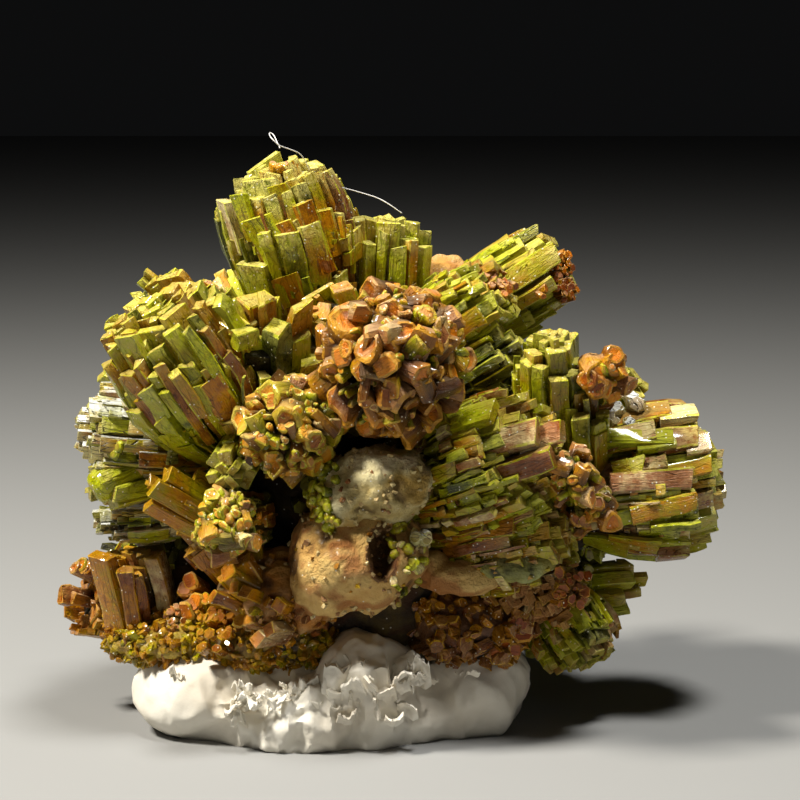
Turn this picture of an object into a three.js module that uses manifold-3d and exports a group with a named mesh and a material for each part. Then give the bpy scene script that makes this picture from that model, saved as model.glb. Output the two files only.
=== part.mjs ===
// A pyromorphite specimen, 46 mm across, pressed into a pad of white mounting putty.
// Barrel-shaped sheaves of six-sided crystals grow outwards from a lump of rusty matrix.
// Millimetres, +Z up. The front faces -Y. The origin is the centre of the pad's flat underside.

import * as THREE from 'three';
import { ConvexGeometry } from 'three/addons/geometries/ConvexGeometry.js';
import { mergeVertices } from 'three/addons/utils/BufferGeometryUtils.js';
import Module from 'manifold-3d';

const wasm = await Module();
wasm.setup();

// Driving dimensions
const gap = 0.3; // between pieces that touch
const envelopeGrowth = 0.5; // how far a sheaf's outline is kept clear of its neighbours
const padRadius = { x: 13.1, y: 10.6 };
const padHeight = 6.4;
const padOutline = [[0, 0], [0.97, 0], [1, 0.22], [0.97, 0.55], [0.86, 0.86], [0.7, 1.02], [0, 1]];
const padSides = 28;
const padLean = [0.03, 0.02]; // how far the rim strays from an oval, in three and in five waves
const padFold = 0.22; // height of the crumples, as a share of the pad's
const padFrontRise = 0.12; // how much higher the putty is squeezed up at the front left
const bellyAt = 0.55; // share of a sheaf's length where it is widest
const cellSpacing = [0.87, 0.62, 0.4]; // between crystals, for a belly radius of 1, by number of rings
const cornerJitter = 0.16; // how far a crystal's edge strays, as a share of the spacing
const stepHeight = 0.14; // how much crystals differ in length, as a share of the sheaf's
const steps = 3; // how many such steps there are between the longest and the shortest

// Finishes
const finishes = {
  olive: new THREE.MeshStandardMaterial({ color: 0x85881c, roughness: 0.42, metalness: 0 }),
  amber: new THREE.MeshStandardMaterial({ color: 0xb0731a, roughness: 0.38, metalness: 0 }),
  orange: new THREE.MeshStandardMaterial({ color: 0xa8622b, roughness: 0.45, metalness: 0 }),
  tan: new THREE.MeshStandardMaterial({ color: 0xa88352, roughness: 0.75, metalness: 0 }),
  matrix: new THREE.MeshStandardMaterial({ color: 0x8f6432, roughness: 0.85, metalness: 0 }),
  putty: new THREE.MeshStandardMaterial({ color: 0xe8e5dc, roughness: 0.7, metalness: 0 }),
};

// A sheaf of crystals runs from base to tip. Its radius is the one at its belly, and foot and head are
// the shares of that radius at its two ends. Rings is how many rings of crystals stand round the middle
// one, and 0 is three side by side. Dome is how far the outer crystals stop short of the middle one.
function sheaf(base, tip, radius, form) {
  return { base, tip, radius, ...form };
}

// One entry for each piece of crystal, with the sheaves that are grown together in it
const crystalPieces = [
  { name: 'rosette_barrel', finish: 'orange', sheaves: [
    sheaf([3.9, -2, 22.2], [4.6, -14.4, 26.6], 4.8, { foot: 0.45, head: 0.95, rings: 2, dome: 0.3 })] },
  { name: 'left_rosette', finish: 'orange', sheaves: [
    sheaf([-0.9, -3, 19.8], [-2.4, -12.4, 21.2], 3.3, { foot: 0.5, head: 0.92, rings: 1, dome: 0.25 })] },
  { name: 'middle_barrel', finish: 'olive', sheaves: [
    sheaf([5.8, -3.5, 15.2], [15.6, -9, 20.1], 4.7, { foot: 0.62, head: 0.8, rings: 2, dome: 0.2 }),
    sheaf([6.6, -3.5, 11.4], [17, -8, 14.1], 3.4, { foot: 0.6, head: 0.8, rings: 1, dome: 0.2 })] },
  { name: 'left_fan', finish: 'olive', sheaves: [
    sheaf([-5, -3, 18], [-11.4, -7.6, 29.5], 5.1, { foot: 0.4, head: 0.96, rings: 2, dome: 0.12 }),
    sheaf([-4, -3.5, 19], [-4, -10, 29.4], 4, { foot: 0.4, head: 0.95, rings: 1, dome: 0.2 })] },
  { name: 'crown_barrel', finish: 'olive', sheaves: [
    sheaf([-0.8, 1, 26.6], [-3.7, -0.6, 38], 4.65, { foot: 0.68, head: 0.76, rings: 2, dome: 0.2 })] },
  { name: 'right_barrel', finish: 'olive', sheaves: [
    sheaf([16, -0.4, 15], [27.4, 0.6, 16.4], 5.2, { foot: 0.6, head: 0.78, rings: 2, dome: 0.14 })] },
  { name: 'left_barrel', finish: 'olive', sheaves: [
    sheaf([-6.4, -1.5, 18.6], [-17.3, -3.4, 19.9], 3.7, { foot: 0.6, head: 0.78, rings: 1, dome: 0.2 })] },
  { name: 'upper_right_barrel', finish: 'olive', sheaves: [
    sheaf([8, 4, 25.2], [16.7, 4, 30.9], 3.3, { foot: 0.62, head: 0.86, rings: 1, dome: 0.1 })] },
  { name: 'upper_middle_barrel', finish: 'olive', sheaves: [
    sheaf([4.8, 1, 24.2], [12.6, -2.2, 29.3], 2.9, { foot: 0.7, head: 0.85, rings: 1, dome: 0.12 })] },
  { name: 'small_rosette', finish: 'orange', sheaves: [
    sheaf([-4.2, -4.5, 14], [-6.1, -12.4, 15], 2.1, { foot: 0.7, head: 0.95, rings: 0, dome: 0.1 })] },
  { name: 'amber_laths', finish: 'amber', sheaves: [
    sheaf([-5.4, -4.6, 13.2], [-11.6, -8, 17.4], 1.9, { foot: 0.75, head: 0.8, rings: 0, dome: 0.3 }),
    sheaf([-5.2, -4, 9.4], [-9.8, -5.6, 14.6], 1.3, { foot: 0.9, head: 0.9, rings: 0, dome: 0.4 })] },
  { name: 'pale_lath', finish: 'olive', sheaves: [
    sheaf([-4.6, -4.8, 19.6], [-5.9, -11.2, 17.6], 1.6, { foot: 0.8, head: 0.95, rings: 0, dome: 0.2 })] },
  { name: 'orange_block', finish: 'orange', sheaves: [
    sheaf([1.6, -3.2, 25.2], [0.2, -7.6, 29.4], 1.5, { foot: 0.8, head: 0.95, rings: 0, dome: 0.2 })] },
  { name: 'upper_prisms', finish: 'olive', sheaves: [
    sheaf([4, 2, 25.6], [4.5, 1, 34], 2.6, { foot: 0.85, head: 0.95, rings: 0, dome: 0.12 })] },
  { name: 'right_prisms', finish: 'olive', sheaves: [
    sheaf([14.8, -2, 19.8], [14.4, -5, 26.8], 2.3, { foot: 0.8, head: 0.9, rings: 0, dome: 0.24 })] },
  { name: 'right_rosette', finish: 'orange', sheaves: [
    sheaf([17, 0.4, 20.4], [18, -6, 24.2], 1.6, { foot: 0.75, head: 0.95, rings: 0, dome: 0.15 })] },
  { name: 'middle_rosette', finish: 'orange', sheaves: [
    sheaf([15, -3.6, 15.6], [15.8, -11.4, 18.4], 1.5, { foot: 0.8, head: 0.95, rings: 0, dome: 0.15 }),
    sheaf([15.2, -3.6, 13.4], [17.7, -9.4, 16], 1.5, { foot: 0.8, head: 0.9, rings: 0, dome: 0.2 })] },
  { name: 'thin_prisms', finish: 'olive', sheaves: [
    sheaf([17.2, -2, 16.8], [16.6, -5, 23.4], 1.6, { foot: 0.85, head: 0.85, rings: 0, dome: 0.4 })] },
  { name: 'dark_prisms', finish: 'olive', sheaves: [
    sheaf([8, -1, 22.4], [13.2, -3.2, 25.9], 1.5, { foot: 0.8, head: 0.9, rings: 0, dome: 0.25 })] },
  { name: 'tan_barrel', finish: 'tan', sheaves: [
    sheaf([12.8, 0, 9.6], [14, -8.8, 10.2], 3.2, { foot: 0.7, head: 0.85, rings: 1, dome: 0.14 })] },
  { name: 'lower_right_barrel', finish: 'olive', sheaves: [
    sheaf([14.6, -0.6, 8.6], [18, -4.4, 4], 2.8, { foot: 0.75, head: 0.85, rings: 0, dome: 0.2 })] },
  { name: 'lower_right_prisms', finish: 'olive', sheaves: [
    sheaf([16, 0.6, 8.2], [21.9, 0.6, 8.6], 1.7, { foot: 0.8, head: 0.9, rings: 0, dome: 0.3 })] },
  { name: 'pale_knob', finish: 'olive', sheaves: [
    sheaf([17.6, 3, 19.6], [21, 1.4, 23], 1.4, { foot: 0.85, head: 0.9, rings: 0, dome: 0.15 })] },
  { name: 'green_crystal', finish: 'olive', sheaves: [
    sheaf([-10, -2.4, 17], [-15.6, -5.6, 16], 1.6, { foot: 0.9, head: 0.85, rings: 0, dome: 0.1 })] },
  { name: 'left_silver_barrel', finish: 'olive', sheaves: [
    sheaf([-8.6, -1.4, 13.6], [-16.4, -2.8, 13.4], 1.8, { foot: 0.75, head: 0.85, rings: 0, dome: 0.2 })] },
  { name: 'amber_column', finish: 'amber', sheaves: [
    sheaf([-12, -1.4, 5.6], [-13.2, -3.4, 12.2], 2.4, { foot: 0.9, head: 0.85, rings: 0, dome: 0.14 })] },
  { name: 'orange_spur', finish: 'orange', sheaves: [
    sheaf([-13.2, 0.8, 6.8], [-18.7, -1.6, 8.2], 2.1, { foot: 0.85, head: 0.85, rings: 0, dome: 0.3 })] },
  { name: 'left_dark_prisms', finish: 'olive', sheaves: [
    sheaf([-9.6, 2, 21], [-15.6, 0.4, 23.2], 1.6, { foot: 0.8, head: 0.9, rings: 0, dome: 0.3 })] },
  { name: 'left_top_knob', finish: 'olive', sheaves: [
    sheaf([-7.4, 3.6, 24.6], [-12.6, 3, 29.6], 1.5, { foot: 0.85, head: 0.9, rings: 0, dome: 0.15 })] },
  { name: 'back_barrel', finish: 'olive', sheaves: [
    sheaf([2, 5, 16.4], [3.4, 15.4, 17.8], 4.4, { foot: 0.6, head: 0.82, rings: 1, dome: 0.18 })] },
  { name: 'back_top_barrel', finish: 'olive', sheaves: [
    sheaf([-4, 4, 22.6], [-7.2, 11.4, 28.4], 3.7, { foot: 0.55, head: 0.85, rings: 1, dome: 0.18 })] },
  { name: 'back_left_barrel', finish: 'olive', sheaves: [
    sheaf([-6, 3.4, 15.6], [-13.6, 9, 17], 3.3, { foot: 0.6, head: 0.82, rings: 1, dome: 0.18 })] },
  { name: 'back_right_barrel', finish: 'olive', sheaves: [
    sheaf([11.4, 4, 17.4], [18, 11.4, 20.6], 3.8, { foot: 0.6, head: 0.85, rings: 1, dome: 0.16 })] },
  { name: 'back_upper_rosette', finish: 'orange', sheaves: [
    sheaf([4, 5, 23.2], [6, 12.6, 27.4], 2.7, { foot: 0.6, head: 0.95, rings: 1, dome: 0.25 })] },
  { name: 'back_low_barrel', finish: 'olive', sheaves: [
    sheaf([11.6, 3.6, 10.6], [18.2, 9.4, 9.4], 3, { foot: 0.65, head: 0.82, rings: 1, dome: 0.2 })] },
  { name: 'back_low_rosette', finish: 'amber', sheaves: [
    sheaf([-6, 4.4, 10], [-10.4, 11.2, 9.4], 2.5, { foot: 0.7, head: 0.9, rings: 0, dome: 0.2 })] },
];

// The rusty rock that carries the crystals: lumps run together, with the hollow seen near the front
const matrixLumps = [
  { centre: [2, 1.4, 17.6], radii: [10.5, 6.8, 8.4], detail: 1 },
  { centre: [12.4, 1, 14.8], radii: [6.4, 5.6, 6.6], detail: 1 },
  { centre: [-7.6, 3.2, 9], radii: [6.8, 5, 4.2], detail: 1 },
  { centre: [3, 0.6, 8.8], radii: [11, 7.4, 4.6], detail: 1 },
  { centre: [12.6, 0.4, 8.6], radii: [4.6, 4.6, 4], detail: 1 },
  { centre: [3.7, -8.2, 16.9], radii: [3.5, 3.8, 2.5], detail: 1 },
  { centre: [2.2, -7.4, 12.4], radii: [4.4, 4.5, 3.6], detail: 2 },
  { centre: [-2.8, -5.8, 9.6], radii: [3.8, 3.8, 2.9], detail: 1 },
  { centre: [9.4, -4, 7.2], radii: [4, 3.6, 2.8], detail: 1 },
  { centre: [-9.6, -2.6, 5.8], radii: [4.8, 3.8, 1.8], detail: 1 },
  { centre: [-3.8, -4.4, 6.2], radii: [4.8, 3.6, 2.2], detail: 1 },
  { centre: [7.9, 5.2, 27.7], radii: [2.5, 2.4, 2.6], detail: 1 },
];
const matrixRoughness = 0.07;
const hollow = { centre: [3.8, -11.4, 13.2], radii: [1, 3, 1.8], detail: 1 };

// Deterministic noise in 0..1 from three numbers
function noise(a, b, c) {
  const s = Math.sin(a * 12.9898 + b * 78.233 + c * 37.719) * 43758.5453;
  return s - Math.floor(s);
}

// A closed three.js geometry as a solid that can be joined and cut
function toSolid(geometry) {
  const bare = geometry.clone();
  for (const name of Object.keys(bare.attributes)) {
    if (name !== 'position') bare.deleteAttribute(name);
  }
  const merged = mergeVertices(bare, 1e-4);
  return new wasm.Manifold(new wasm.Mesh({
    numProp: 3,
    vertProperties: merged.attributes.position.array,
    triVerts: new Uint32Array(merged.index.array),
  }));
}

// A solid as a three.js geometry
function toGeometry(solid) {
  const mesh = solid.getMesh();
  return new THREE.BufferGeometry()
    .setAttribute('position', new THREE.BufferAttribute(mesh.vertProperties, 3))
    .setIndex(new THREE.BufferAttribute(mesh.triVerts, 1));
}

function join(solids) {
  return solids.reduce((all, one) => all.add(one));
}

function largestBody(solid) {
  return solid.decompose().reduce((best, one) => (one.volume() > best.volume() ? one : best));
}

// A sheaf's radius along its length, as a share of the radius at its belly
function barrelProfile({ foot, head }, t) {
  if (t < bellyAt) {
    return foot + (1 - foot) * Math.sin((Math.PI / 2) * (t / bellyAt));
  }
  return 1 - (1 - head) * ((t - bellyAt) / (1 - bellyAt)) ** 2;
}

// The sheaf's own axes: along it, and two across it
function sheafFrame({ base, tip }) {
  const origin = new THREE.Vector3(...base);
  const along = new THREE.Vector3(...tip).sub(origin);
  const length = along.length();
  along.normalize();
  const across = new THREE.Vector3(0, 0, 1).cross(along).normalize();
  const other = along.clone().cross(across);
  return { origin, along, across, other, length };
}

// The crystals of a sheaf as honeycomb cells: their six shared corners, and the height of each
function honeycomb({ base, tip, rings, dome }) {
  const spacing = cellSpacing[rings];
  const reach = Math.max(1, rings);
  const shift = rings === 0 ? spacing / Math.sqrt(3) : 0;
  const corners = new Map();
  const cells = [];
  for (let row = -reach; row <= reach; row += 1) {
    for (let column = -reach; column <= reach; column += 1) {
      const inside = Math.abs(row + column) <= reach;
      const wanted = rings > 0 ? inside : row >= 0 && column >= 0 && inside;
      if (!wanted) continue;
      const x = spacing * (column + row / 2) - shift * Math.cos(Math.PI / 6);
      const y = spacing * row * (Math.sqrt(3) / 2) - shift * Math.sin(Math.PI / 6);
      const step = Math.round(steps * noise(column + tip[0], row, tip[2])) / steps;
      const height = 1 - dome * (x * x + y * y) - stepHeight * step;
      const around = [];
      for (let k = 0; k < 6; k += 1) {
        const angle = ((k + 0.5) * Math.PI) / 3;
        const cx = x + (spacing / Math.sqrt(3)) * Math.cos(angle);
        const cy = y + (spacing / Math.sqrt(3)) * Math.sin(angle);
        const key = `${Math.round(cx * 1000)}:${Math.round(cy * 1000)}`;
        if (!corners.has(key)) {
          const stray = cornerJitter * spacing;
          corners.set(key, {
            x: cx + stray * (2 * noise(cx, cy, base[0]) - 1),
            y: cy + stray * (2 * noise(cy, cx, base[2]) - 1),
            levels: new Set(),
            vertices: new Map(),
          });
        }
        around.push(corners.get(key));
      }
      cells.push({ around, height });
    }
  }
  return cells;
}

// A sheaf as one closed surface: flat crystal ends, the walls between crystals of different height,
// and the outer walls, which bend with the barrel's side
function sheafSurface(grown) {
  const frame = sheafFrame(grown);
  const cells = honeycomb(grown);
  const positions = [];
  const triangles = [];

  function addPoint(x, y, t) {
    const spread = grown.radius * barrelProfile(grown, t);
    const point = frame.origin.clone()
      .addScaledVector(frame.along, t * frame.length)
      .addScaledVector(frame.across, spread * x)
      .addScaledVector(frame.other, spread * y);
    positions.push(point.x, point.y, point.z);
    return positions.length / 3 - 1;
  }

  function vertexAt(corner, t) {
    if (!corner.vertices.has(t)) corner.vertices.set(t, addPoint(corner.x, corner.y, t));
    return corner.vertices.get(t);
  }

  const edges = new Map();
  const ids = new Map();
  const idOf = (corner) => {
    if (!ids.has(corner)) ids.set(corner, ids.size);
    return ids.get(corner);
  };
  for (const cell of cells) {
    cell.around.forEach((corner, k) => {
      const next = cell.around[(k + 1) % 6];
      corner.levels.add(cell.height);
      const key = [idOf(corner), idOf(next)].sort((a, b) => a - b).join(':');
      if (!edges.has(key)) edges.set(key, []);
      edges.get(key).push({ cell, from: corner, to: next });
    });
  }
  const outer = [...edges.values()].filter((sides) => sides.length === 1).map((sides) => sides[0]);
  for (const { from, to } of outer) {
    for (const corner of [from, to]) corner.levels.add(0).add(bellyAt);
  }

  // A wall between two corners, from one level to another, facing away from the higher crystal
  function addWall(from, to, low, high) {
    const chain = (corner) => [...corner.levels].filter((t) => t >= low && t <= high).sort((a, b) => a - b);
    const left = chain(from);
    const right = chain(to);
    let i = 0;
    let j = 0;
    while (i < left.length - 1 || j < right.length - 1) {
      const climbLeft = j === right.length - 1 || (i < left.length - 1 && left[i + 1] <= right[j + 1]);
      const a = vertexAt(from, left[i]);
      const b = vertexAt(to, right[j]);
      if (climbLeft) {
        triangles.push(a, b, vertexAt(from, left[i + 1]));
        i += 1;
      } else {
        triangles.push(a, b, vertexAt(to, right[j + 1]));
        j += 1;
      }
    }
  }

  for (const sides of edges.values()) {
    const [one, two] = sides;
    if (!two) addWall(one.from, one.to, 0, one.cell.height);
    else if (one.cell.height > two.cell.height) addWall(one.from, one.to, two.cell.height, one.cell.height);
    else addWall(two.from, two.to, one.cell.height, two.cell.height);
  }
  for (const { around, height } of cells) {
    for (let k = 1; k < 5; k += 1) {
      triangles.push(
        vertexAt(around[0], height),
        vertexAt(around[k], height),
        vertexAt(around[k + 1], height),
      );
    }
  }
  const foot = addPoint(0, 0, 0);
  for (const { from, to } of outer) triangles.push(vertexAt(to, 0), vertexAt(from, 0), foot);

  return new THREE.BufferGeometry()
    .setAttribute('position', new THREE.Float32BufferAttribute(positions, 3))
    .setIndex(triangles);
}

// The outline of a sheaf, grown a little, which its neighbours are cut back to
function sheafEnvelope(surface) {
  const position = surface.attributes.position;
  const points = [];
  const middle = new THREE.Vector3();
  for (let i = 0; i < position.count; i += 1) {
    points.push(new THREE.Vector3().fromBufferAttribute(position, i));
    middle.addScaledVector(points[i], 1 / position.count);
  }
  for (const point of points) {
    point.addScaledVector(point.clone().sub(middle).normalize(), envelopeGrowth);
  }
  return toSolid(new ConvexGeometry(points));
}

// One rough lump of rock, or with grow its outline that other pieces are cut back to
function lump({ centre, radii, detail }, grow = 0) {
  const ball = new THREE.IcosahedronGeometry(1, detail);
  const position = ball.attributes.position;
  for (let i = 0; i < position.count; i += 1) {
    const out = new THREE.Vector3().fromBufferAttribute(position, i).normalize();
    const key = out.toArray().map((value) => Math.round(value * 1000) / 1000);
    const bump = 1 + matrixRoughness * (2 * noise(key[0] + centre[0], key[1], key[2]) - 1);
    position.setXYZ(
      i,
      centre[0] + out.x * (radii[0] * bump + grow),
      centre[1] + out.y * (radii[1] * bump + grow),
      centre[2] + out.z * (radii[2] * bump + grow),
    );
  }
  return toSolid(ball);
}

function matrixSolid(grow = 0) {
  const lumps = join(matrixLumps.map((one) => lump(one, grow)));
  return largestBody(lumps.subtract(lump(hollow, -grow)));
}

// The putty pad before the specimen is pressed into it: flat below, a crumpled rim above
function padSolid() {
  const pad = new THREE.LatheGeometry(padOutline.map((point) => new THREE.Vector2(...point)), padSides);
  const position = pad.attributes.position;
  for (let i = 0; i < position.count; i += 1) {
    const x = position.getX(i);
    const y = -position.getZ(i);
    const level = position.getY(i);
    const radius = Math.hypot(x, y);
    const onAxis = radius < 1e-6;
    const angle = onAxis ? 0 : Math.atan2(y, x);
    const side = (Math.round((angle / (Math.PI * 2)) * padSides) + padSides) % padSides;
    const lean = onAxis ? 0 : padLean[0] * Math.sin(3 * angle + 0.6) + padLean[1] * Math.sin(5 * angle);
    const aboveBelly = Math.max(0, level - 0.5);
    const crumpled = !onAxis && aboveBelly > 0;
    const fold = crumpled ? padFold * noise(side, Math.round(radius * 20), 3) : 0;
    const rise = padFrontRise * Math.max(0, Math.cos(angle + 0.9)) * aboveBelly;
    position.setXYZ(
      i,
      padRadius.x * x * (1 + lean),
      padRadius.y * y * (1 + lean),
      padHeight * (level + fold + rise),
    );
  }
  return toSolid(pad);
}

const specimen = new THREE.Group();

function addPiece(name, finish, solid) {
  const mesh = new THREE.Mesh(toGeometry(solid), finishes[finish]);
  mesh.name = name;
  specimen.add(mesh);
}

// The rock comes first, then the crystals from the front backwards, each cut back to what is there
const rock = matrixSolid();
const rockOutline = matrixSolid(gap);
const taken = [rockOutline];
addPiece('limonite_matrix', 'matrix', rock);

for (const { name, finish, sheaves } of crystalPieces) {
  const surfaces = sheaves.map(sheafSurface);
  const whole = join(surfaces.map(toSolid));
  const free = taken.reduce((rest, other) => rest.subtract(other), whole);
  addPiece(name, finish, largestBody(free));
  taken.push(...surfaces.map(sheafEnvelope));
}

const pressedPad = taken.reduce((rest, other) => rest.subtract(other), padSolid());
addPiece('putty_pad', 'putty', largestBody(pressedPad));

export default specimen;
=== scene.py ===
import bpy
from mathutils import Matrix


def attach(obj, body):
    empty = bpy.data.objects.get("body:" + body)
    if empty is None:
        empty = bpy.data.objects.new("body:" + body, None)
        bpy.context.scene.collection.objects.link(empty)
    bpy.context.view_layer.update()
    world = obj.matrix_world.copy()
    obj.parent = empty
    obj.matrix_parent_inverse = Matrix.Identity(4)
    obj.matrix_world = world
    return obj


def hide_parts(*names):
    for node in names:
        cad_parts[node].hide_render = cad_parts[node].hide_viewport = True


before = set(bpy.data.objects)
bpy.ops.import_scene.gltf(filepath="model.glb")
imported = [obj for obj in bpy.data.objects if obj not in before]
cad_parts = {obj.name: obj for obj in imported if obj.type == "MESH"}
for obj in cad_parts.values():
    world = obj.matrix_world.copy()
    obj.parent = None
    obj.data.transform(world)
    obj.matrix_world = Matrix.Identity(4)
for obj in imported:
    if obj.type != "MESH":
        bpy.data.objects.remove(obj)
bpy.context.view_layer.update()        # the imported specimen: every piece below is fitted to it

import math

import bmesh
import bpy
import numpy as np
from mathutils import Matrix, Vector

mm = 0.001
chance = np.random.default_rng(11)


# Camera, floor and lights

cameraSetup = {
    "target": (4.9, -3.0, 21.6),   # mm, the point in the middle of the picture
    "distance": 150.0,
    "elevation": 8.0,
    "pictureWidth": 52.0,          # mm across the picture at the target
    "sensor": 36.0,
}


def addCamera(setup):
    tilt = math.radians(setup["elevation"])
    back = Vector((0, -math.cos(tilt), math.sin(tilt)))
    data = bpy.data.cameras.new("pictureCamera")
    data.sensor_width = setup["sensor"]
    data.lens = setup["sensor"] * setup["distance"] / setup["pictureWidth"]
    data.clip_start = 0.01
    data.clip_end = 10
    camera = bpy.data.objects.new("pictureCamera", data)
    bpy.context.collection.objects.link(camera)
    camera.location = (Vector(setup["target"]) + back * setup["distance"]) * mm
    camera.rotation_euler = (-back).to_track_quat("-Z", "Y").to_euler()
    bpy.context.scene.camera = camera


lights = [
    {"name": "keyLight", "at": (-120, -50, 190), "size": 34, "watts": 0.92, "tint": (1.0, 0.95, 0.86)},
    {"name": "topLight", "at": (40, -50, 240), "size": 44, "watts": 0.62, "tint": (1.0, 0.99, 0.96)},
    {"name": "fillLight", "at": (60, -230, 110), "size": 150, "watts": 0.011, "tint": (1.0, 0.97, 0.92)},
]


def addLights():
    for light in lights:
        data = bpy.data.lights.new(light["name"], "AREA")
        data.size = light["size"] * mm
        data.energy = light["watts"]
        data.color = light["tint"]
        lamp = bpy.data.objects.new(light["name"], data)
        bpy.context.collection.objects.link(lamp)
        lamp.location = Vector(light["at"]) * mm
        aim = Vector(cameraSetup["target"]) * mm - lamp.location
        lamp.rotation_euler = aim.to_track_quat("-Z", "Y").to_euler()
    world = bpy.data.worlds.new("studio")
    world.use_nodes = True
    world.node_tree.nodes["Background"].inputs["Color"].default_value = (0.8, 0.82, 0.84, 1)
    world.node_tree.nodes["Background"].inputs["Strength"].default_value = 0.005
    bpy.context.scene.world = world
    bpy.context.scene.view_settings.view_transform = "Standard"


# Node helpers

def addNode(tree, kind, **values):
    node = tree.nodes.new(kind)
    for name, value in values.items():
        setattr(node, name, value)
    return node


def feed(tree, socket, value):
    if isinstance(value, bpy.types.NodeSocket):
        tree.links.new(value, socket)
    elif hasattr(socket.default_value, "__len__") and len(socket.default_value) == 4 and len(value) == 3:
        socket.default_value = (*value, 1)
    else:
        socket.default_value = value


def mathNode(tree, operation, first, second=0.0, clamp=False):
    node = addNode(tree, "ShaderNodeMath", operation=operation, use_clamp=clamp)
    feed(tree, node.inputs[0], first)
    feed(tree, node.inputs[1], second)
    return node.outputs[0]


def plus(tree, first, second, clamp=False):
    return mathNode(tree, "ADD", first, second, clamp)


def minus(tree, first, second):
    return mathNode(tree, "SUBTRACT", first, second)


def times(tree, first, second):
    return mathNode(tree, "MULTIPLY", first, second)


def mixColor(tree, amount, first, second, blend="MIX"):
    node = addNode(tree, "ShaderNodeMix", data_type="RGBA", blend_type=blend)
    feed(tree, node.inputs["Factor"], amount)
    feed(tree, node.inputs[6], first)
    feed(tree, node.inputs[7], second)
    return node.outputs[2]


def stepBetween(tree, value, low, high):
    node = addNode(tree, "ShaderNodeMapRange", interpolation_type="SMOOTHSTEP")
    feed(tree, node.inputs["Value"], value)
    node.inputs["From Min"].default_value = low
    node.inputs["From Max"].default_value = high
    return node.outputs["Result"]


def rampNode(tree, value, stops):
    node = addNode(tree, "ShaderNodeValToRGB")
    elements = node.color_ramp.elements
    while len(elements) < len(stops):
        elements.new(0.5)
    for element, (place, color) in zip(elements, stops):
        element.position = place
        element.color = (*color, 1)
    feed(tree, node.inputs["Fac"], value)
    return node.outputs["Color"]


def noiseNode(tree, vector, scale, detail=3.0, roughness=0.55):
    node = addNode(tree, "ShaderNodeTexNoise")
    tree.links.new(vector, node.inputs["Vector"])
    feed(tree, node.inputs["Scale"], scale)
    node.inputs["Detail"].default_value = detail
    node.inputs["Roughness"].default_value = roughness
    return node.outputs["Fac"]


def objectPlace(tree):
    return addNode(tree, "ShaderNodeTexCoord").outputs["Object"]


def splitAttribute(tree, name):
    # the three channels of a piece's colour attribute
    source = addNode(tree, "ShaderNodeAttribute", attribute_name=name)
    split = addNode(tree, "ShaderNodeSeparateColor")
    tree.links.new(source.outputs["Color"], split.inputs[0])
    return split.outputs[0], split.outputs[1], split.outputs[2]


def newMaterial(name):
    material = bpy.data.materials.new(name)
    material.use_nodes = True
    return material, material.node_tree, material.node_tree.nodes["Principled BSDF"]


def plainMaterial(name, color, roughness=0.5):
    material, tree, shader = newMaterial(name)
    shader.inputs["Base Color"].default_value = (*color, 1)
    shader.inputs["Roughness"].default_value = roughness
    return material


def addBump(tree, shader, height, strength, depth):
    # relief on a shader, from a height and its depth in mm
    bump = addNode(tree, "ShaderNodeBump")
    bump.inputs["Strength"].default_value = strength
    bump.inputs["Distance"].default_value = depth * mm
    tree.links.new(height, bump.inputs["Height"])
    tree.links.new(bump.outputs["Normal"], shader.inputs["Normal"])


def newGroup(name, inputs, outputs):
    # a group of number sockets: inputs with their values, and outputs
    group = bpy.data.node_groups.new(name, "ShaderNodeTree")
    for label, value in inputs.items():
        socket = group.interface.new_socket(name=label, in_out="INPUT", socket_type="NodeSocketFloat")
        socket.default_value = value
    for label in outputs:
        group.interface.new_socket(name=label, in_out="OUTPUT", socket_type="NodeSocketFloat")
    return group, addNode(group, "NodeGroupInput"), addNode(group, "NodeGroupOutput")


def placeGroup(tree, group, **values):
    node = addNode(tree, "ShaderNodeGroup", node_tree=group)
    for label, value in values.items():
        feed(tree, node.inputs[label], value)
    return node


# Shared effects

def striationGroup():
    # fine lengthwise lines on a crystal's faces, in its own UV map
    group, source, sink = newGroup(
        "lengthwiseStriations", {"Lines": 9.0, "Stretch": 0.12}, ("Height", "Streak", "Crack"))
    uv = addNode(group, "ShaderNodeUVMap", uv_map="alongCrystal")
    split = addNode(group, "ShaderNodeSeparateXYZ")
    group.links.new(uv.outputs["UV"], split.inputs[0])
    join = addNode(group, "ShaderNodeCombineXYZ")
    group.links.new(split.outputs["X"], join.inputs["X"])
    group.links.new(times(group, split.outputs["Y"], source.outputs["Stretch"]), join.inputs["Y"])
    fine = noiseNode(group, join.outputs[0], source.outputs["Lines"], 3, 0.6)
    coarse = noiseNode(group, join.outputs[0], 1.7, 2, 0.5)
    bricks = addNode(group, "ShaderNodeCombineXYZ")
    wobble = times(group, coarse, 0.5)
    group.links.new(plus(group, times(group, split.outputs["X"], 2.4), wobble),
                    bricks.inputs["X"])
    group.links.new(times(group, split.outputs["Y"], 0.7), bricks.inputs["Y"])
    cells = addNode(group, "ShaderNodeTexVoronoi", feature="DISTANCE_TO_EDGE")
    cells.inputs["Scale"].default_value = 1.0
    group.links.new(bricks.outputs[0], cells.inputs["Vector"])
    near = minus(group, 1.0, stepBetween(group, cells.outputs["Distance"], 0.012, 0.05))
    kept = stepBetween(group, coarse, 0.42, 0.58)
    group.links.new(times(group, near, kept), sink.inputs["Crack"])
    lines = times(group, fine, 0.6)
    group.links.new(plus(group, lines, times(group, coarse, 0.4)), sink.inputs["Height"])
    group.links.new(stepBetween(group, fine, 0.42, 0.62), sink.inputs["Streak"])
    return group


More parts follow.
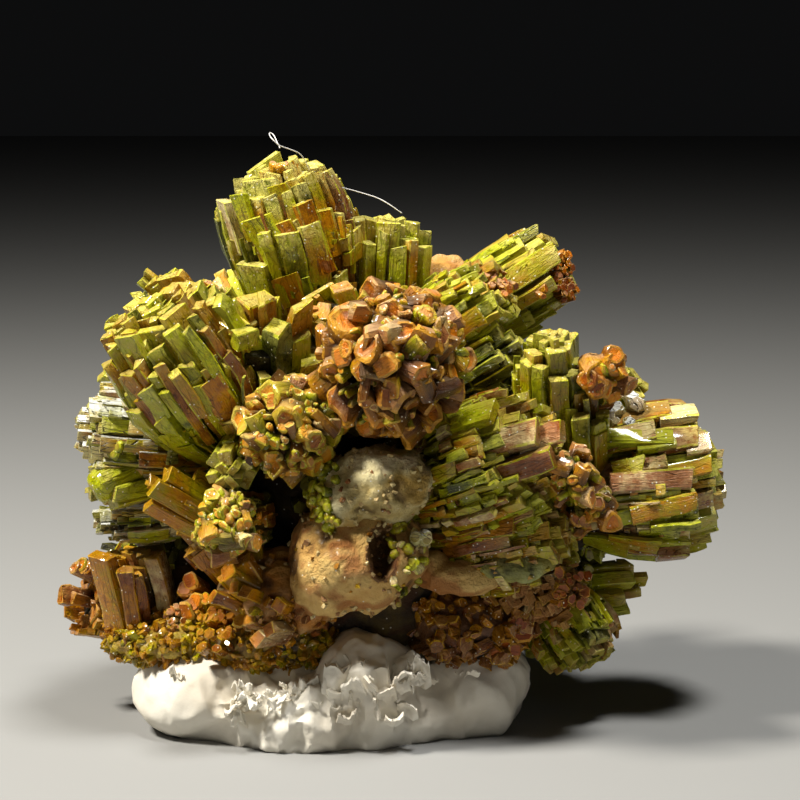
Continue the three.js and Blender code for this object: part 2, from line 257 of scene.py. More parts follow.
def edgeGlintGroup():
    # a painted highlight along a crystal's edges, broken up so that it doesn't read as drawn lines
    group, source, sink = newGroup("edgeGlint", {"Rim": 0.0, "Scale": 900.0}, ("Mask",))
    place = objectPlace(group)
    broken = noiseNode(group, place, source.outputs["Scale"], 3, 0.6)
    kept = stepBetween(group, broken, 0.36, 0.6)
    group.links.new(times(group, source.outputs["Rim"], kept), sink.inputs["Mask"])
    return group


def dustSheenGroup():
    # tiny painted glints, and a soft film on what faces up that is partly dust and partly a painted sheen
    group, source, sink = newGroup("dustSheenAndGlints", {"Scale": 4200.0, "Share": 0.12}, ("Glints", "DustAndSheen"))
    place = objectPlace(group)
    cells = addNode(group, "ShaderNodeTexVoronoi")
    group.links.new(place, cells.inputs["Vector"])
    group.links.new(source.outputs["Scale"], cells.inputs["Scale"])
    near = minus(group, 1.0, stepBetween(group, cells.outputs["Distance"], 0.1, 0.32))
    tone = addNode(group, "ShaderNodeSeparateColor")
    group.links.new(cells.outputs["Color"], tone.inputs[0])
    chosen = mathNode(group, "LESS_THAN", tone.outputs[0], source.outputs["Share"])
    group.links.new(times(group, near, chosen), sink.inputs["Glints"])
    facing = addNode(group, "ShaderNodeNewGeometry")
    height = addNode(group, "ShaderNodeSeparateXYZ")
    group.links.new(facing.outputs["Normal"], height.inputs[0])
    patchy = noiseNode(group, place, 420.0, 4, 0.65)
    upward = stepBetween(group, height.outputs["Z"], 0.35, 0.85)
    group.links.new(times(group, upward, stepBetween(group, patchy, 0.36, 0.62)), sink.inputs["DustAndSheen"])
    return group


def patchGroup():
    # patches a millimetre or two across, and smaller mottling inside them
    group, source, sink = newGroup("patches", {"Scale": 350.0}, ("Broad", "Fine"))
    place = objectPlace(group)
    broad = noiseNode(group, place, source.outputs["Scale"], 2, 0.5)
    fine = noiseNode(group, place, times(group, source.outputs["Scale"], 5.0), 4, 0.6)
    group.links.new(broad, sink.inputs["Broad"])
    group.links.new(fine, sink.inputs["Fine"])
    return group


effects = {
    "striations": striationGroup(),
    "edgeGlint": edgeGlintGroup(),
    "dustAndGlints": dustSheenGroup(),
    "patches": patchGroup(),
}

# Tones of the crystals: each crystal's own tone, from 0 to 1, is looked up here
crystalTones = [
    (0.00, (0.012, 0.013, 0.001)),   # moss
    (0.14, (0.090, 0.110, 0.001)),   # deep green
    (0.28, (0.430, 0.460, 0.001)),   # lime
    (0.42, (0.380, 0.290, 0.001)),   # olive yellow
    (0.56, (0.500, 0.205, 0.001)),   # ochre
    (0.70, (0.200, 0.048, 0.001)),   # amber brown
    (0.84, (0.380, 0.180, 0.075)),   # mauve tan
    (1.00, (0.780, 0.660, 0.320)),   # cream
]

# The colours at a crystal's end, its edges (painted highlight), its paler tip (own colour and painted highlight)
# and its dusty top (dust and painted sheen), how much its cracks and bumps show, and its gloss
crystalFinishes = {
    "olive": {"end": (0.42, 0.36, 0.02), "core": (0.30, 0.16, 0.01), "rim": (0.52, 0.54, 0.01),
              "tip": (0.72, 0.64, 0.18), "dustSheen": ((0.74, 0.68, 0.16), 0.22), "dustSheenRough": 0.2,
              "roughness": 0.32, "coat": 0.5, "bump": 0.8, "cracks": 0.3},
    # the silvery finish: its white film on what faces up is a painted reflection
    "silverSheen": {"end": (0.30, 0.24, 0.01), "core": (0.20, 0.10, 0.01), "rim": (0.5, 0.5, 0.2),
               "tip": (0.70, 0.66, 0.26), "dustSheen": ((0.84, 0.86, 0.80), 1.6), "dustSheenRough": -0.15,
               "roughness": 0.36, "coat": 0.6, "bump": 0.9, "cracks": 0.85},
    "orange": {"end": (0.74, 0.20, 0.001), "core": (0.26, 0.045, 0.001), "rim": (0.68, 0.34, 0.03),
               "tip": (0.60, 0.34, 0.05), "dustSheen": ((0.66, 0.45, 0.24), 0.6), "dustSheenRough": 0.1,
               "roughness": 0.34, "coat": 0.4, "bump": 0.8, "cracks": 0.0},
    "lime": {"end": (0.70, 0.24, 0.001), "core": (0.34, 0.07, 0.001), "rim": (0.56, 0.46, 0.04),
             "tip": (0.62, 0.48, 0.09), "dustSheen": ((0.70, 0.56, 0.22), 0.4), "dustSheenRough": 0.1,
             "roughness": 0.34, "coat": 0.4, "bump": 0.8, "cracks": 0.0},
    "amber": {"end": (0.50, 0.20, 0.002), "core": (0.34, 0.09, 0.001), "rim": (0.60, 0.36, 0.01),
              "tip": (0.62, 0.38, 0.02), "dustSheen": ((0.80, 0.60, 0.10), 0.15), "dustSheenRough": 0.1,
              "roughness": 0.26, "coat": 0.5, "bump": 0.8, "cracks": 0.2},
    "tan": {"end": (0.40, 0.19, 0.05), "core": (0.24, 0.08, 0.02), "rim": (0.50, 0.29, 0.10),
            "tip": (0.52, 0.30, 0.10), "dustSheen": ((0.7, 0.52, 0.26), 0.3), "dustSheenRough": 0.1,
            "roughness": 0.7, "coat": 0.05, "bump": 0.8, "cracks": 0.1},
}

# Colours that all the crystals share, with painted shade and painted glints among them, and how much of each shows
crystalShades = {
    "streak": ((0.62, 0.42, 0.1), 0.3),       # the fine lines
    "paintedShadow": ((0.012, 0.008, 0.003), 0.95),    # painted shade on what lies buried between the crystals
    # the dark of the cracks, and the colour of the painted glints
    "crack": (0.02, 0.012, 0.002), "glint": (0.95, 0.95, 0.8),
    "endShare": 0.85, "rimShare": 0.7, "glintShare": 0.14,
    "patchScale": 420.0, "gritScale": 5200.0, "gritShare": 0.45, "reliefDepth": 0.19,
}


def swing(tree, value, spread):
    # a value's swing about its middle, spread over a range
    return times(tree, minus(tree, value, 0.5), spread)


def crystalMaterial(name, finish):
    material, tree, shader = newMaterial(name)
    tone, rim, cap = splitAttribute(tree, "crystalMarks")
    buried, pale = splitAttribute(tree, "crystalPlace")[1:]
    patches = placeGroup(tree, effects["patches"], Scale=crystalShades["patchScale"])
    lines = placeGroup(tree, effects["striations"])
    glintEdges = placeGroup(tree, effects["edgeGlint"], Rim=rim)
    dustAndGlints = placeGroup(tree, effects["dustAndGlints"], Share=crystalShades["glintShare"])
    broad, fine = patches.outputs["Broad"], patches.outputs["Fine"]

    toned = plus(tree, plus(tree, tone, swing(tree, broad, 0.5)), swing(tree, fine, 0.3), clamp=True)
    color = rampNode(tree, toned, crystalTones)
    streakShade, streakShare = crystalShades["streak"]
    color = mixColor(tree, times(tree, lines.outputs["Streak"], streakShare), color, streakShade, "MULTIPLY")
    endShade = mixColor(tree, stepBetween(tree, broad, 0.4, 0.6), finish["end"], finish["core"])
    dustSheenColor, dustSheenShare = finish["dustSheen"]
    paintedShadowColor, paintedShadowShare = crystalShades["paintedShadow"]
    # over the tone: the end's colour, a paler tip (own colour and painted highlight), a painted highlight on the
    # edges, dust and a painted sheen on what faces up, dark cracks, painted shade on what lies buried, and painted
    # glints
    for amount, shade in (
            (times(tree, cap, crystalShades["endShare"]), endShade),
            (times(tree, pale, stepBetween(tree, fine, 0.3, 0.6)), finish["tip"]),
            (times(tree, glintEdges.outputs["Mask"], crystalShades["rimShare"]), finish["rim"]),
            (times(tree, dustAndGlints.outputs["DustAndSheen"], dustSheenShare), dustSheenColor),
            (times(tree, lines.outputs["Crack"], finish["cracks"]), crystalShades["crack"]),
            (times(tree, buried, paintedShadowShare), paintedShadowColor),
            (dustAndGlints.outputs["Glints"], crystalShades["glint"])):
        color = mixColor(tree, amount, color, shade)
    tree.links.new(color, shader.inputs["Base Color"])

    rough = plus(tree, swing(tree, fine, 0.5), finish["roughness"])
    rough = plus(tree, rough, times(tree, dustAndGlints.outputs["DustAndSheen"], finish["dustSheenRough"]), clamp=True)
    tree.links.new(rough, shader.inputs["Roughness"])
    shader.inputs["Coat Weight"].default_value = finish["coat"]
    shader.inputs["Coat Roughness"].default_value = 0.1
    shader.inputs["Specular IOR Level"].default_value = 0.2

    height = plus(tree, lines.outputs["Height"], times(tree, fine, 0.8))
    height = minus(tree, height, lines.outputs["Crack"])
    grit = noiseNode(tree, objectPlace(tree), crystalShades["gritScale"], 2, 0.6)
    height = plus(tree, height, times(tree, grit, crystalShades["gritShare"]))
    addBump(tree, shader, height, finish["bump"], crystalShades["reliefDepth"])
    return material


finishes = {name: crystalMaterial(name + "Crystal", finish) for name, finish in crystalFinishes.items()}


# Modelling helpers

def clearSelection():
    if bpy.context.mode != "OBJECT":
        bpy.ops.object.mode_set(mode="OBJECT")
    bpy.ops.object.select_all(action="DESELECT")


def selectOnly(active, *others):
    clearSelection()
    for obj in (active, *others):
        obj.select_set(True)
    bpy.context.view_layer.objects.active = active


def applyModifier(kind, **settings):
    # adds a modifier to the active object and applies it
    modifier = bpy.context.active_object.modifiers.new(kind, kind)
    for name, value in settings.items():
        setattr(modifier, name, value)
    bpy.ops.object.modifier_apply(modifier=modifier.name)


def pickFaces(obj, wanted):
    # selects the faces whose centre and normal pass the test, in edit mode
    bpy.ops.mesh.select_all(action="DESELECT")
    shape = bmesh.from_edit_mesh(obj.data)
    for face in shape.faces:
        face.select = bool(wanted(face.calc_center_median(), face.normal))
    bmesh.update_edit_mesh(obj.data)


def pickEdges(obj, wanted):
    bpy.ops.mesh.select_all(action="DESELECT")
    bpy.ops.mesh.select_mode(type="EDGE")
    shape = bmesh.from_edit_mesh(obj.data)
    for edge in shape.edges:
        edge.select = bool(wanted(edge.verts[0].co, edge.verts[1].co))
    bmesh.update_edit_mesh(obj.data)


# Large odd numbers that scatter whole numbers evenly
scatter = {"axes": (374761393, 668265263, 2147483647), "seed": 974711, "stir": 1274126177, "mask": 0xFFFFFFFF}


def scramble(cells, seed):
    # a steady random value from -1 to 1 for each row of whole numbers
    key = (cells @ np.array(scatter["axes"]) + seed * scatter["seed"]) & scatter["mask"]
    key = ((key ^ (key >> 13)) * scatter["stir"]) & scatter["mask"]
    return ((key ^ (key >> 16)) & 0xFFFF) / 32767.5 - 1


def valueNoise(points, seed=0):
    # smooth noise from -1 to 1 at each row of points
    cell = np.floor(points).astype(np.int64)
    part = points - cell
    part = part * part * (3 - 2 * part)
    total = np.zeros(len(points))
    for corner in range(8):
        bits = np.array([corner & 1, (corner >> 1) & 1, (corner >> 2) & 1])
        total += scramble(cell + bits, seed) * np.prod(np.where(bits, part, 1 - part), axis=1)
    return total


def cellNoise(points, seed=0):
    # distance to the nearest of scattered spots, from 0 at a spot to about 1 between them
    cell = np.floor(points).astype(np.int64)
    nearest = np.full(len(points), 9.0)
    for index in range(27):
        corner = cell + np.array([index % 3 - 1, index // 3 % 3 - 1, index // 9 - 1])
        spot = corner + 0.5 + 0.42 * np.stack([scramble(corner, seed + axis) for axis in (11, 12, 13)], axis=1)
        nearest = np.minimum(nearest, ((points - spot) ** 2).sum(axis=1))
    return np.sqrt(nearest)


def noiseVectors(points, seed=0):
    return np.stack([valueNoise(points, seed + axis) for axis in (1, 2, 3)], axis=1)


# Pattern crystals: each is modelled once, and copied along the sheaves or set one by one

patternLength = 4.0

patterns = {
    "lath": {"sides": 4, "edge": 0.17, "end": 0.13, "cuts": (1.5, 3.05)},
    "innerLath": {"sides": 4, "edge": 0, "end": 0.12, "cuts": (3.05,)},
    "chip": {"sides": 4, "edge": 0, "end": 0.16, "cuts": ()},
    "block": {"sides": 4, "edge": 0.42, "end": 0.26, "cuts": ()},
    "prism": {"sides": 6, "edge": 0.1, "end": 0.09, "cuts": (1.2, 2.6)},
    "grain": {"sides": 6, "edge": 0, "end": 0.16, "cuts": ()},
    "hopper": {"sides": 6, "edge": 0.2, "end": 0.14, "cuts": (2.4,),
               "insets": ((0.14, 0.03), (0.14, -0.12), (0.26, -0.06))},
    "shallowHopper": {"sides": 6, "edge": 0.2, "end": 0.16, "cuts": (2.4,),
                      "insets": ((0.2, 0.02), (0.14, -0.05))},
    "knob": {"sides": 6, "edge": 0, "end": 0.3, "cuts": (2.6,), "insets": ((0.3, 0.14),),
             "rounded": True},
}


def modelPattern(name, setup):
    # a standing crystal from z 0 to its length, with bevelled edges and a bevelled or hollowed end
    clearSelection()
    bpy.ops.mesh.primitive_cylinder_add(
        vertices=setup["sides"], radius=1 / math.cos(math.pi / setup["sides"]), depth=patternLength,
        location=(0, 0, patternLength / 2), rotation=(0, 0, math.pi / setup["sides"]))
    bpy.ops.object.transform_apply(location=True, rotation=True, scale=True)
    obj = bpy.context.active_object
    obj.name = name + "Pattern"
    bpy.ops.object.mode_set(mode="EDIT")
    if setup["edge"]:
        pickEdges(obj, lambda a, b: abs(a.z - b.z) > 1)
        bpy.ops.mesh.bevel(offset=setup["edge"], segments=1, affect="EDGES")
    bpy.ops.mesh.select_mode(type="FACE")
    pickFaces(obj, lambda centre, normal: normal.z > 0.9)
    bpy.ops.mesh.inset(thickness=setup["end"], depth=setup["end"])
    for width, rise in setup.get("insets", ()):
        bpy.ops.mesh.inset(thickness=width, depth=rise)
    for height in setup["cuts"]:
        bpy.ops.mesh.select_all(action="SELECT")
        bpy.ops.mesh.bisect(plane_co=(0, 0, height), plane_no=(0, 0, 1))
    bpy.ops.object.mode_set(mode="OBJECT")
    if setup.get("rounded"):
        applyModifier("SUBSURF", levels=1)
    return readPattern(obj, setup)


def readPattern(obj, setup):
    # the pattern as arrays: its ends keep their size when it is stretched to a crystal's length
    mesh = obj.data
    points = np.array([vertex.co for vertex in mesh.vertices])
    peak = points[:, 2].max()
    nearTop = points[:, 2] > patternLength - 0.9
    reach = np.where(nearTop, 1.0, points[:, 2] / patternLength)
    shift = np.where(nearTop, points[:, 2] - peak, 0.0)
    hollow = min([0.0] + [rise for width, rise in setup.get("insets", ())]) < 0
    corners, sizes, rims, caps, maps = [], [], [], [], []
    for face in mesh.polygons:
        ring = list(face.vertices)
        spots = points[ring]
        angles = np.arctan2(spots[:, 1], spots[:, 0])
        if angles.max() - angles.min() > math.pi:
            angles = np.where(angles < 0, angles + 2 * math.pi, angles)
        out = math.hypot(*face.center[:2])
        upward = face.normal.z > 0.3 or (face.center.z > patternLength and out < 0.8)
        isCap = upward and (out < 0.62 if hollow else face.normal.z > 0.9)
        narrow = np.ptp(angles) < 0.3 * 2 * math.pi / setup["sides"] and not setup.get("rounded")
        isRim = not isCap and (upward or narrow)
        corners += ring
        sizes.append(len(ring))
        rims += [float(isRim)] * len(ring)
        caps += [float(isCap)] * len(ring)
        flat = spots[:, :2] if upward else np.stack([angles, np.zeros(len(ring))], axis=1)
        maps += flat.tolist()
    bpy.data.objects.remove(obj)
    return {
        "points": points[:, :2], "reach": reach, "shift": shift, "corners": np.array(corners),
        "sizes": np.array(sizes), "rim": np.array(rims), "cap": np.array(caps), "map": np.array(maps),
    }


def barrelProfile(sheaf, t):
    # a sheaf's radius along its length, as a share of the radius at its belly
    belly = 0.55
    t = np.clip(t, 0, 1)
    rising = sheaf["foot"] + (1 - sheaf["foot"]) * np.sin(np.pi / 2 * np.minimum(t / belly, 1))
    falling = 1 - (1 - sheaf["head"]) * (np.maximum(t - belly, 0) / (1 - belly)) ** 2
    return np.where(t < belly, rising, falling)


def crossAxes(along):
    across = np.cross((0, 0, 1.0), along)
    across = across / np.maximum(np.linalg.norm(across, axis=-1, keepdims=True), 1e-6)
    return across, np.cross(along, across)


def sheafAxes(sheaf):
    base = np.array(sheaf["base"], float)
    along = np.array(sheaf["tip"], float) - base
    length = np.linalg.norm(along)
    along /= length
    across, other = crossAxes(along)
    return base, along, across, other, length


mostSlant = 0.3   # mm that a slanted end rises or falls at its edge


def crossSection(pattern, column):
    # the pattern's points across each crystal, and how far its end's slant and bevel move them along it
    x = pattern["points"][None, :, 0] * column["width"] / 2
    y = pattern["points"][None, :, 1] * column["depth"] / 2
    cos, sin = np.cos(column["turn"]), np.sin(column["turn"])
    slant = (column["slantX"] * x + column["slantY"] * y) * (pattern["reach"][None, :] > 0.9)
    bevel = pattern["shift"][None, :] * np.minimum(column["width"], column["depth"]) / 2
    return x * cos - y * sin, x * sin + y * cos, slant, bevel


def growCopies(sheaf, pattern, crystals):
    # one copy of the pattern for each crystal, laid along the sheaf and following its barrel shape
    base, along, across, other, length = sheafAxes(sheaf)
    column = {name: np.asarray(values, float)[:, None] for name, values in crystals.items()}
    x, y, slant, bevel = crossSection(pattern, column)
    t = column["start"] + (column["end"] - column["start"]) * pattern["reach"][None, :]
    t = t + (np.clip(slant, -mostSlant, mostSlant) + bevel) / length
    lean = (t - column["start"]) * length
    planeX = column["x"] + x + lean * column["leanX"]
    planeY = column["y"] + y + lean * column["leanY"]
    spread = barrelProfile(sheaf, t)
    points = (base + (t * length)[..., None] * along + (planeX * spread)[..., None] * across
              + (planeY * spread)[..., None] * other)
    return packCopies(pattern, column, points, t, length, sheaf["look"]["rough"])


def growLoose(name, crystals, rough=0.08):
    # copies of one pattern, each with its own foot and direction
    pattern = patternShapes[name]
    column = {label: np.asarray(values, float) for label, values in crystals.items()}
    foot, along = column.pop("foot"), column.pop("along")
    along = along / np.linalg.norm(along, axis=1, keepdims=True)
    across, other = crossAxes(along)
    column = {label: values[:, None] for label, values in column.items()}
    x, y, slant, bevel = crossSection(pattern, column)
    rise = column["end"] * pattern["reach"][None, :] + bevel + slant
    points = (foot[:, None, :] + rise[..., None] * along[:, None, :] + x[..., None] * across[:, None, :]
              + y[..., None] * other[:, None, :])
    t = rise / column["end"]
    column["end"] = np.ones_like(column["end"])
    return packCopies(pattern, column, points, t, 2.0, rough)


def packCopies(pattern, column, points, t, length, rough):
    # the copies' points roughened, with each crystal's tone and marks on its corners
    count = len(points)
    seeds = np.repeat(chance.uniform(0, 900, (count, 1, 3)), points.shape[1], axis=1)
    flat = points.reshape(-1, 3)
    own = noiseVectors(flat / 0.6 + seeds.reshape(-1, 3), 5) * rough
    shared = noiseVectors(flat / 3.1, 9) * 0.12
    perCopy = pattern["points"].shape[0]
    cornerCount = len(pattern["corners"])
    corners = (pattern["corners"][None, :] + (np.arange(count) * perCopy)[:, None]).ravel()
    tone = np.repeat(column["tone"], cornerCount, axis=1)
    rim = np.tile(pattern["rim"], (count, 1))
    cap = np.tile(pattern["cap"], (count, 1)) * column["capped"]
    marks = np.stack([tone, rim, cap, np.ones_like(tone)], axis=-1).reshape(-1, 4)
    cornerT = t[:, pattern["corners"]]
    # painted shade on each crystal below where it shows, and a paler tip near its end (own colour and painted
    # highlight)
    buried = column["buried"] * np.clip((column["shown"] - cornerT) / 0.07, 0, 1)
    pale = column["pale"] * np.clip((cornerT - column["end"] + 0.1) / 0.1, 0, 1)
    places = np.stack([cornerT, buried, pale, np.ones_like(tone)], axis=-1).reshape(-1, 4)
    girth = (column["width"] + column["depth"]) / 2
    around = pattern["map"][None, :, 0] * girth + chance.uniform(0, 50, (count, 1))
    lengthwise = pattern["map"][None, :, 1] * girth + cornerT * length
    maps = np.stack([around, lengthwise], axis=-1).reshape(-1, 2)
    return {"points": flat + own + shared, "corners": corners, "sizes": np.tile(pattern["sizes"], count),
            "marks": marks, "places": places, "maps": maps}


def joinGrowth(parts):
    joined = {name: np.concatenate([part[name] for part in parts]) for name in parts[0] if name != "corners"}
    offsets = np.cumsum([0] + [len(part["points"]) for part in parts[:-1]])
    joined["corners"] = np.concatenate([part["corners"] + offset for part, offset in zip(parts, offsets)])
    return joined


def meshFromGrowth(name, growth):
    mesh = bpy.data.meshes.new(name)
    starts = np.concatenate([[0], np.cumsum(growth["sizes"])[:-1]])
    mesh.vertices.add(len(growth["points"]))
    mesh.loops.add(len(growth["corners"]))
    mesh.polygons.add(len(growth["sizes"]))
    mesh.vertices.foreach_set("co", (growth["points"] * mm).astype(np.float32).ravel())
    mesh.loops.foreach_set("vertex_index", growth["corners"].astype(np.int32))
    mesh.polygons.foreach_set("loop_start", starts.astype(np.int32))
    mesh.update(calc_edges=True)
    for label, attribute in (("marks", "crystalMarks"), ("places", "crystalPlace")):
        layer = mesh.color_attributes.new(attribute, "FLOAT_COLOR", "CORNER")
        layer.data.foreach_set("color", growth[label].astype(np.float32).ravel())
    uv = mesh.uv_layers.new(name="alongCrystal")
    uv.data.foreach_set("uv", growth["maps"].astype(np.float32).ravel())
    obj = bpy.data.objects.new(name, mesh)
    bpy.context.collection.objects.link(obj)
    return obj


def smoothPiece(obj, angle=32):
    selectOnly(obj)
    bpy.ops.object.shade_smooth_by_angle(angle=math.radians(angle))


def finishPiece(obj, node, material):
    obj.data.materials.clear()
    obj.data.materials.append(material)
    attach(obj, "root")
    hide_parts(node)
    obj.data.calc_loop_triangles()
    pieceSizes[obj.name] = len(obj.data.loop_triangles)


def pickTone(look, sideways=0.0):
    tones, weights = zip(*look["tones"])
    weights = np.array(weights, float)
    return float(np.clip(chance.choice(tones, p=weights / weights.sum()) + chance.normal(0, 0.04) + sideways, 0, 1))


crystalColumns = ("x", "y", "width", "depth", "turn", "start", "end", "slantX", "slantY", "leanX", "leanY",
                  "tone", "buried", "shown", "pale", "capped")


def newRows(*more):
    return {name: [] for name in crystalColumns + more}


def addRow(rows, **values):
    for name in rows:
        rows[name].append(values.get(name, 0.0))


def endSlant():
    return min(max(chance.normal(0, 0.5), -0.4), 0.4) if chance.uniform() < 0.18 else chance.normal(0, 0.1)


def growLaths(sheaf, look):
    # rings of flat laths, the outer ones shorter and broken across, so that the side is stepped
    across, other, length = sheafAxes(sheaf)[2:]
    radius = sheaf["radius"]
    rows, inner, chips = newRows(), newRows(), newRows()
    leanTone = np.array(look["leanTone"])

    def sideTone(angle):
        return (across * math.cos(angle) + other * math.sin(angle)) @ leanTone

    layer = 0
    ring = radius - look["thick"] / 2
    while ring > look["thick"] * 0.2 and layer < look["layers"]:
        wide = look["wide"] * (1.0 if layer < 3 else 1.25)
        count = max(5, int(round(2 * math.pi * ring / wide)))
        shares = np.clip(chance.lognormal(0, look["spread"], count), 0.4, 2.6)
        spans = shares / shares.sum() * 2 * math.pi
        angles = np.cumsum(spans) - spans / 2 + chance.uniform(0, 6)
        step = look["steps"][min(layer, 2)]
        spots = np.stack([np.cos(angles) * ring / 1.6, np.sin(angles) * ring / 1.6, np.full(count, radius)], axis=1)
        bunches = valueNoise(spots + 17.3 * length, 21) * (1.0 if layer < 4 else 0.5)
        for angle, span, bunch in zip(angles, spans, bunches):
            tone = pickTone(look, sideTone(angle) + 0.1 * bunch)
            rise = 1 - sheaf["dome"] * (ring / radius) ** 2 - look["ragged"] * chance.uniform(0, 1) ** 2
            rise -= look["bunch"] * (0.5 - 0.5 * bunch)
            foot = chance.uniform(0, look["loose"]) if layer == 0 else 0.0
            top = max(rise - step * chance.uniform(0, 1), foot + 0.16)
            breaks = chance.binomial(look["cracks"], look["broken"]) if layer < 3 else 0
            stops = np.concatenate([[foot], np.sort(chance.uniform(foot + 0.08, top - 0.05, breaks)), [top]])
            for low, high in zip(stops[:-1], stops[1:]):
                last = high == top
                if high - low < 0.03 or (layer < 2 and not last and chance.uniform() < look["missing"]):
                    continue
                out = ring + 0.3 * min(bunch, 0.1) + chance.normal(0, look["uneven"]) * (1 if layer < 3 else 0.3)
                out = min(out, radius + 0.04)
                addRow(rows if layer < 2 else inner, x=out * math.cos(angle), y=out * math.sin(angle),
                       width=2 * ring * math.tan(min(span / 2, 0.6)) * chance.uniform(0.74, 0.98),
                       depth=look["thick"] * chance.uniform(1.0, 1.3),
                       turn=angle - math.pi / 2 + chance.normal(0, look["twist"]),
                       start=low - 0.01, end=high - chance.uniform(0.002, 0.012),
                       slantX=endSlant(), slantY=chance.normal(0.12, 0.15),
                       leanX=chance.normal(0, look["lean"]), leanY=chance.normal(0, look["lean"]),
                       tone=np.clip(tone + chance.normal(0, 0.05), 0, 1),
                       buried=min(layer, 1) * 0.9, shown=rise - look["steps"][0] * 1.05,
                       pale=look["pale"] * (1 if last else 0.1), capped=1.0 if last else 0.3)
        ring -= look["thick"] * 0.9
        layer += 1
    for kind, count in (("plate", look["plates"]), ("sliver", look["slivers"])):
        for _ in range(count):   # broad flat crystals on the side, and thin ones between the laths
            angle, low = chance.uniform(0, 2 * math.pi), chance.uniform(0.04, 0.45)
            broad = kind == "plate"
            out = radius - (chance.uniform(0.0, 0.16) if broad else chance.uniform(0.05, 0.4))
            width = look["wide"] * chance.uniform(1.1, 1.9) if broad else chance.uniform(0.14, 0.3)
            addRow(rows, x=out * math.cos(angle), y=out * math.sin(angle), width=width,
                   depth=chance.uniform(0.25, 0.4), turn=angle - math.pi / 2 + chance.normal(0, 0.08),
                   start=low, end=min(low + chance.uniform(1.2, 4.0) / length, 0.84 - 0.6 * sheaf["dome"]),
                   slantX=endSlant(), slantY=0.1, leanX=chance.normal(0, 0.006), leanY=chance.normal(0, 0.006),
                   tone=pickTone(look, sideTone(angle)),
                   pale=look["pale"] * 0.1, capped=0.3)
    for _ in range(int(look["chips"] * radius * length)):   # broken grit on the ledges
        angle, low, size = chance.uniform(0, 2 * math.pi), chance.uniform(0.05, 0.5), chance.uniform(0.12, 0.34)
        far = radius - chance.uniform(0.2, 0.7)
        addRow(chips, x=far * math.cos(angle), y=far * math.sin(angle), width=size,
               depth=size * chance.uniform(0.5, 1), turn=chance.uniform(0, math.pi), start=low,
               end=low + chance.uniform(0.12, 0.5) / length, slantX=endSlant(), slantY=endSlant(),
               tone=pickTone(look, sideTone(angle)), capped=0.3)
    parts = [growCopies(sheaf, patternShapes[name], found)
             for name, found in (("lath", rows), ("innerLath", inner), ("chip", chips)) if found["x"]]
    return parts + ([growPlanks(sheaf)] if sheaf["planks"] else [])


def growPlanks(sheaf):
    # the crystals that stand out in the photo, each with its middle, its size, a turn in degrees and a tone
    base, along = sheafAxes(sheaf)[:2]
    rows = newRows("foot", "along")
    for middle, (tall, width, depth), turn, tone in sheaf["planks"]:
        out = np.array(middle) - base
        out -= along * (out @ along)
        out /= np.linalg.norm(out)
        leaned = along * math.cos(math.radians(turn)) + np.cross(along, out) * math.sin(math.radians(turn))
        side, front = crossAxes(leaned)
        addRow(rows, foot=np.array(middle) - leaned * tall / 2 - out * (depth / 2 - 0.25), along=leaned, end=tall,
               width=width, depth=depth, turn=math.atan2(-out @ side, out @ front), slantX=0.1, slantY=0.15,
               tone=tone, capped=0.3)
    return growLoose("lath", rows, 0.09)


spiralTurn = 2.399963   # spaces crystals evenly over a rounded end


def growRosette(sheaf, look):
    # short crystals that stand out from the sheaf's rounded end, close together, with beads between them
    along, across, other, length = sheafAxes(sheaf)[1:]
    radius = sheaf["radius"] * sheaf["head"]
    height = sheaf["dome"] * length + 0.3 * radius
    centre = np.array(sheaf["tip"], float) - along * height
    parts = []
    for kind, count, size, stands, tones in look["crowd"]:
        rows = newRows("foot", "along")
        shift = chance.uniform(0, 6)
        for index in range(count):
            share = (index + chance.uniform(0.2, 0.8)) / count
            polar = math.acos(1 - share * (1 - math.cos(look["reach"])))
            angle = index * spiralTurn + shift + chance.normal(0, 0.12)
            outward = across * math.cos(angle) + other * math.sin(angle)
            normal = along * math.cos(polar) / height + outward * math.sin(polar) / radius
            normal /= np.linalg.norm(normal)
            spot = centre + along * math.cos(polar) * height + outward * math.sin(polar) * radius
            width = chance.uniform(*size)
            tall = min(2.2, radius * 0.8)
            facing = normal + chance.normal(0, look["wander"], 3) * (0.35 if kind == "knob" else 1)
            facing /= np.linalg.norm(facing)
            rise = chance.uniform(*stands) + 0.4 * valueNoise(spot[None] / 1.5, 41)[0]
            addRow(rows, foot=spot + facing * (rise - tall), along=facing, end=tall, width=width,
                   depth=width * chance.uniform(0.72, 1.1), turn=chance.uniform(0, math.pi),
                   slantX=chance.normal(0, 0.18), slantY=chance.normal(0, 0.18), buried=0.75,
                   tone=pickTone({"tones": tones}), shown=1 - (rise + 0.25) / tall, pale=look["pale"], capped=1.0)
        parts.append(growLoose(kind, rows, look["rough"]))
    stalk = {**sheaf, "radius": sheaf["radius"] * 0.88, "dome": 0.3}
    return parts + growLaths(stalk, stalkLook)


# what most sheaves share, and the short laths on a rosette's stalk
lathLook = {"grow": growLaths, "spread": 0.5, "ragged": 0.08, "rough": 0.1, "loose": 0.1, "broken": 0.5,
            "plates": 8,
            "slivers": 8, "pale": 0.6, "bunch": 0.12, "chips": 3, "twist": 0.06, "lean": 0.005, "layers": 99,
            "leanTone": (0, 0, 0), "core": 0.5}
stalkLook = {**lathLook, "wide": 0.9, "thick": 0.5, "ragged": 0.1, "layers": 2, "steps": (0.3, 0.2, 0.1),
             "cracks": 4, "missing": 0.3, "uneven": 0.18, "plates": 4, "slivers": 10, "pale": 0.3,
             "tones": [(0.14, 2), (0.34, 2), (0.56, 2), (0.68, 3)]}


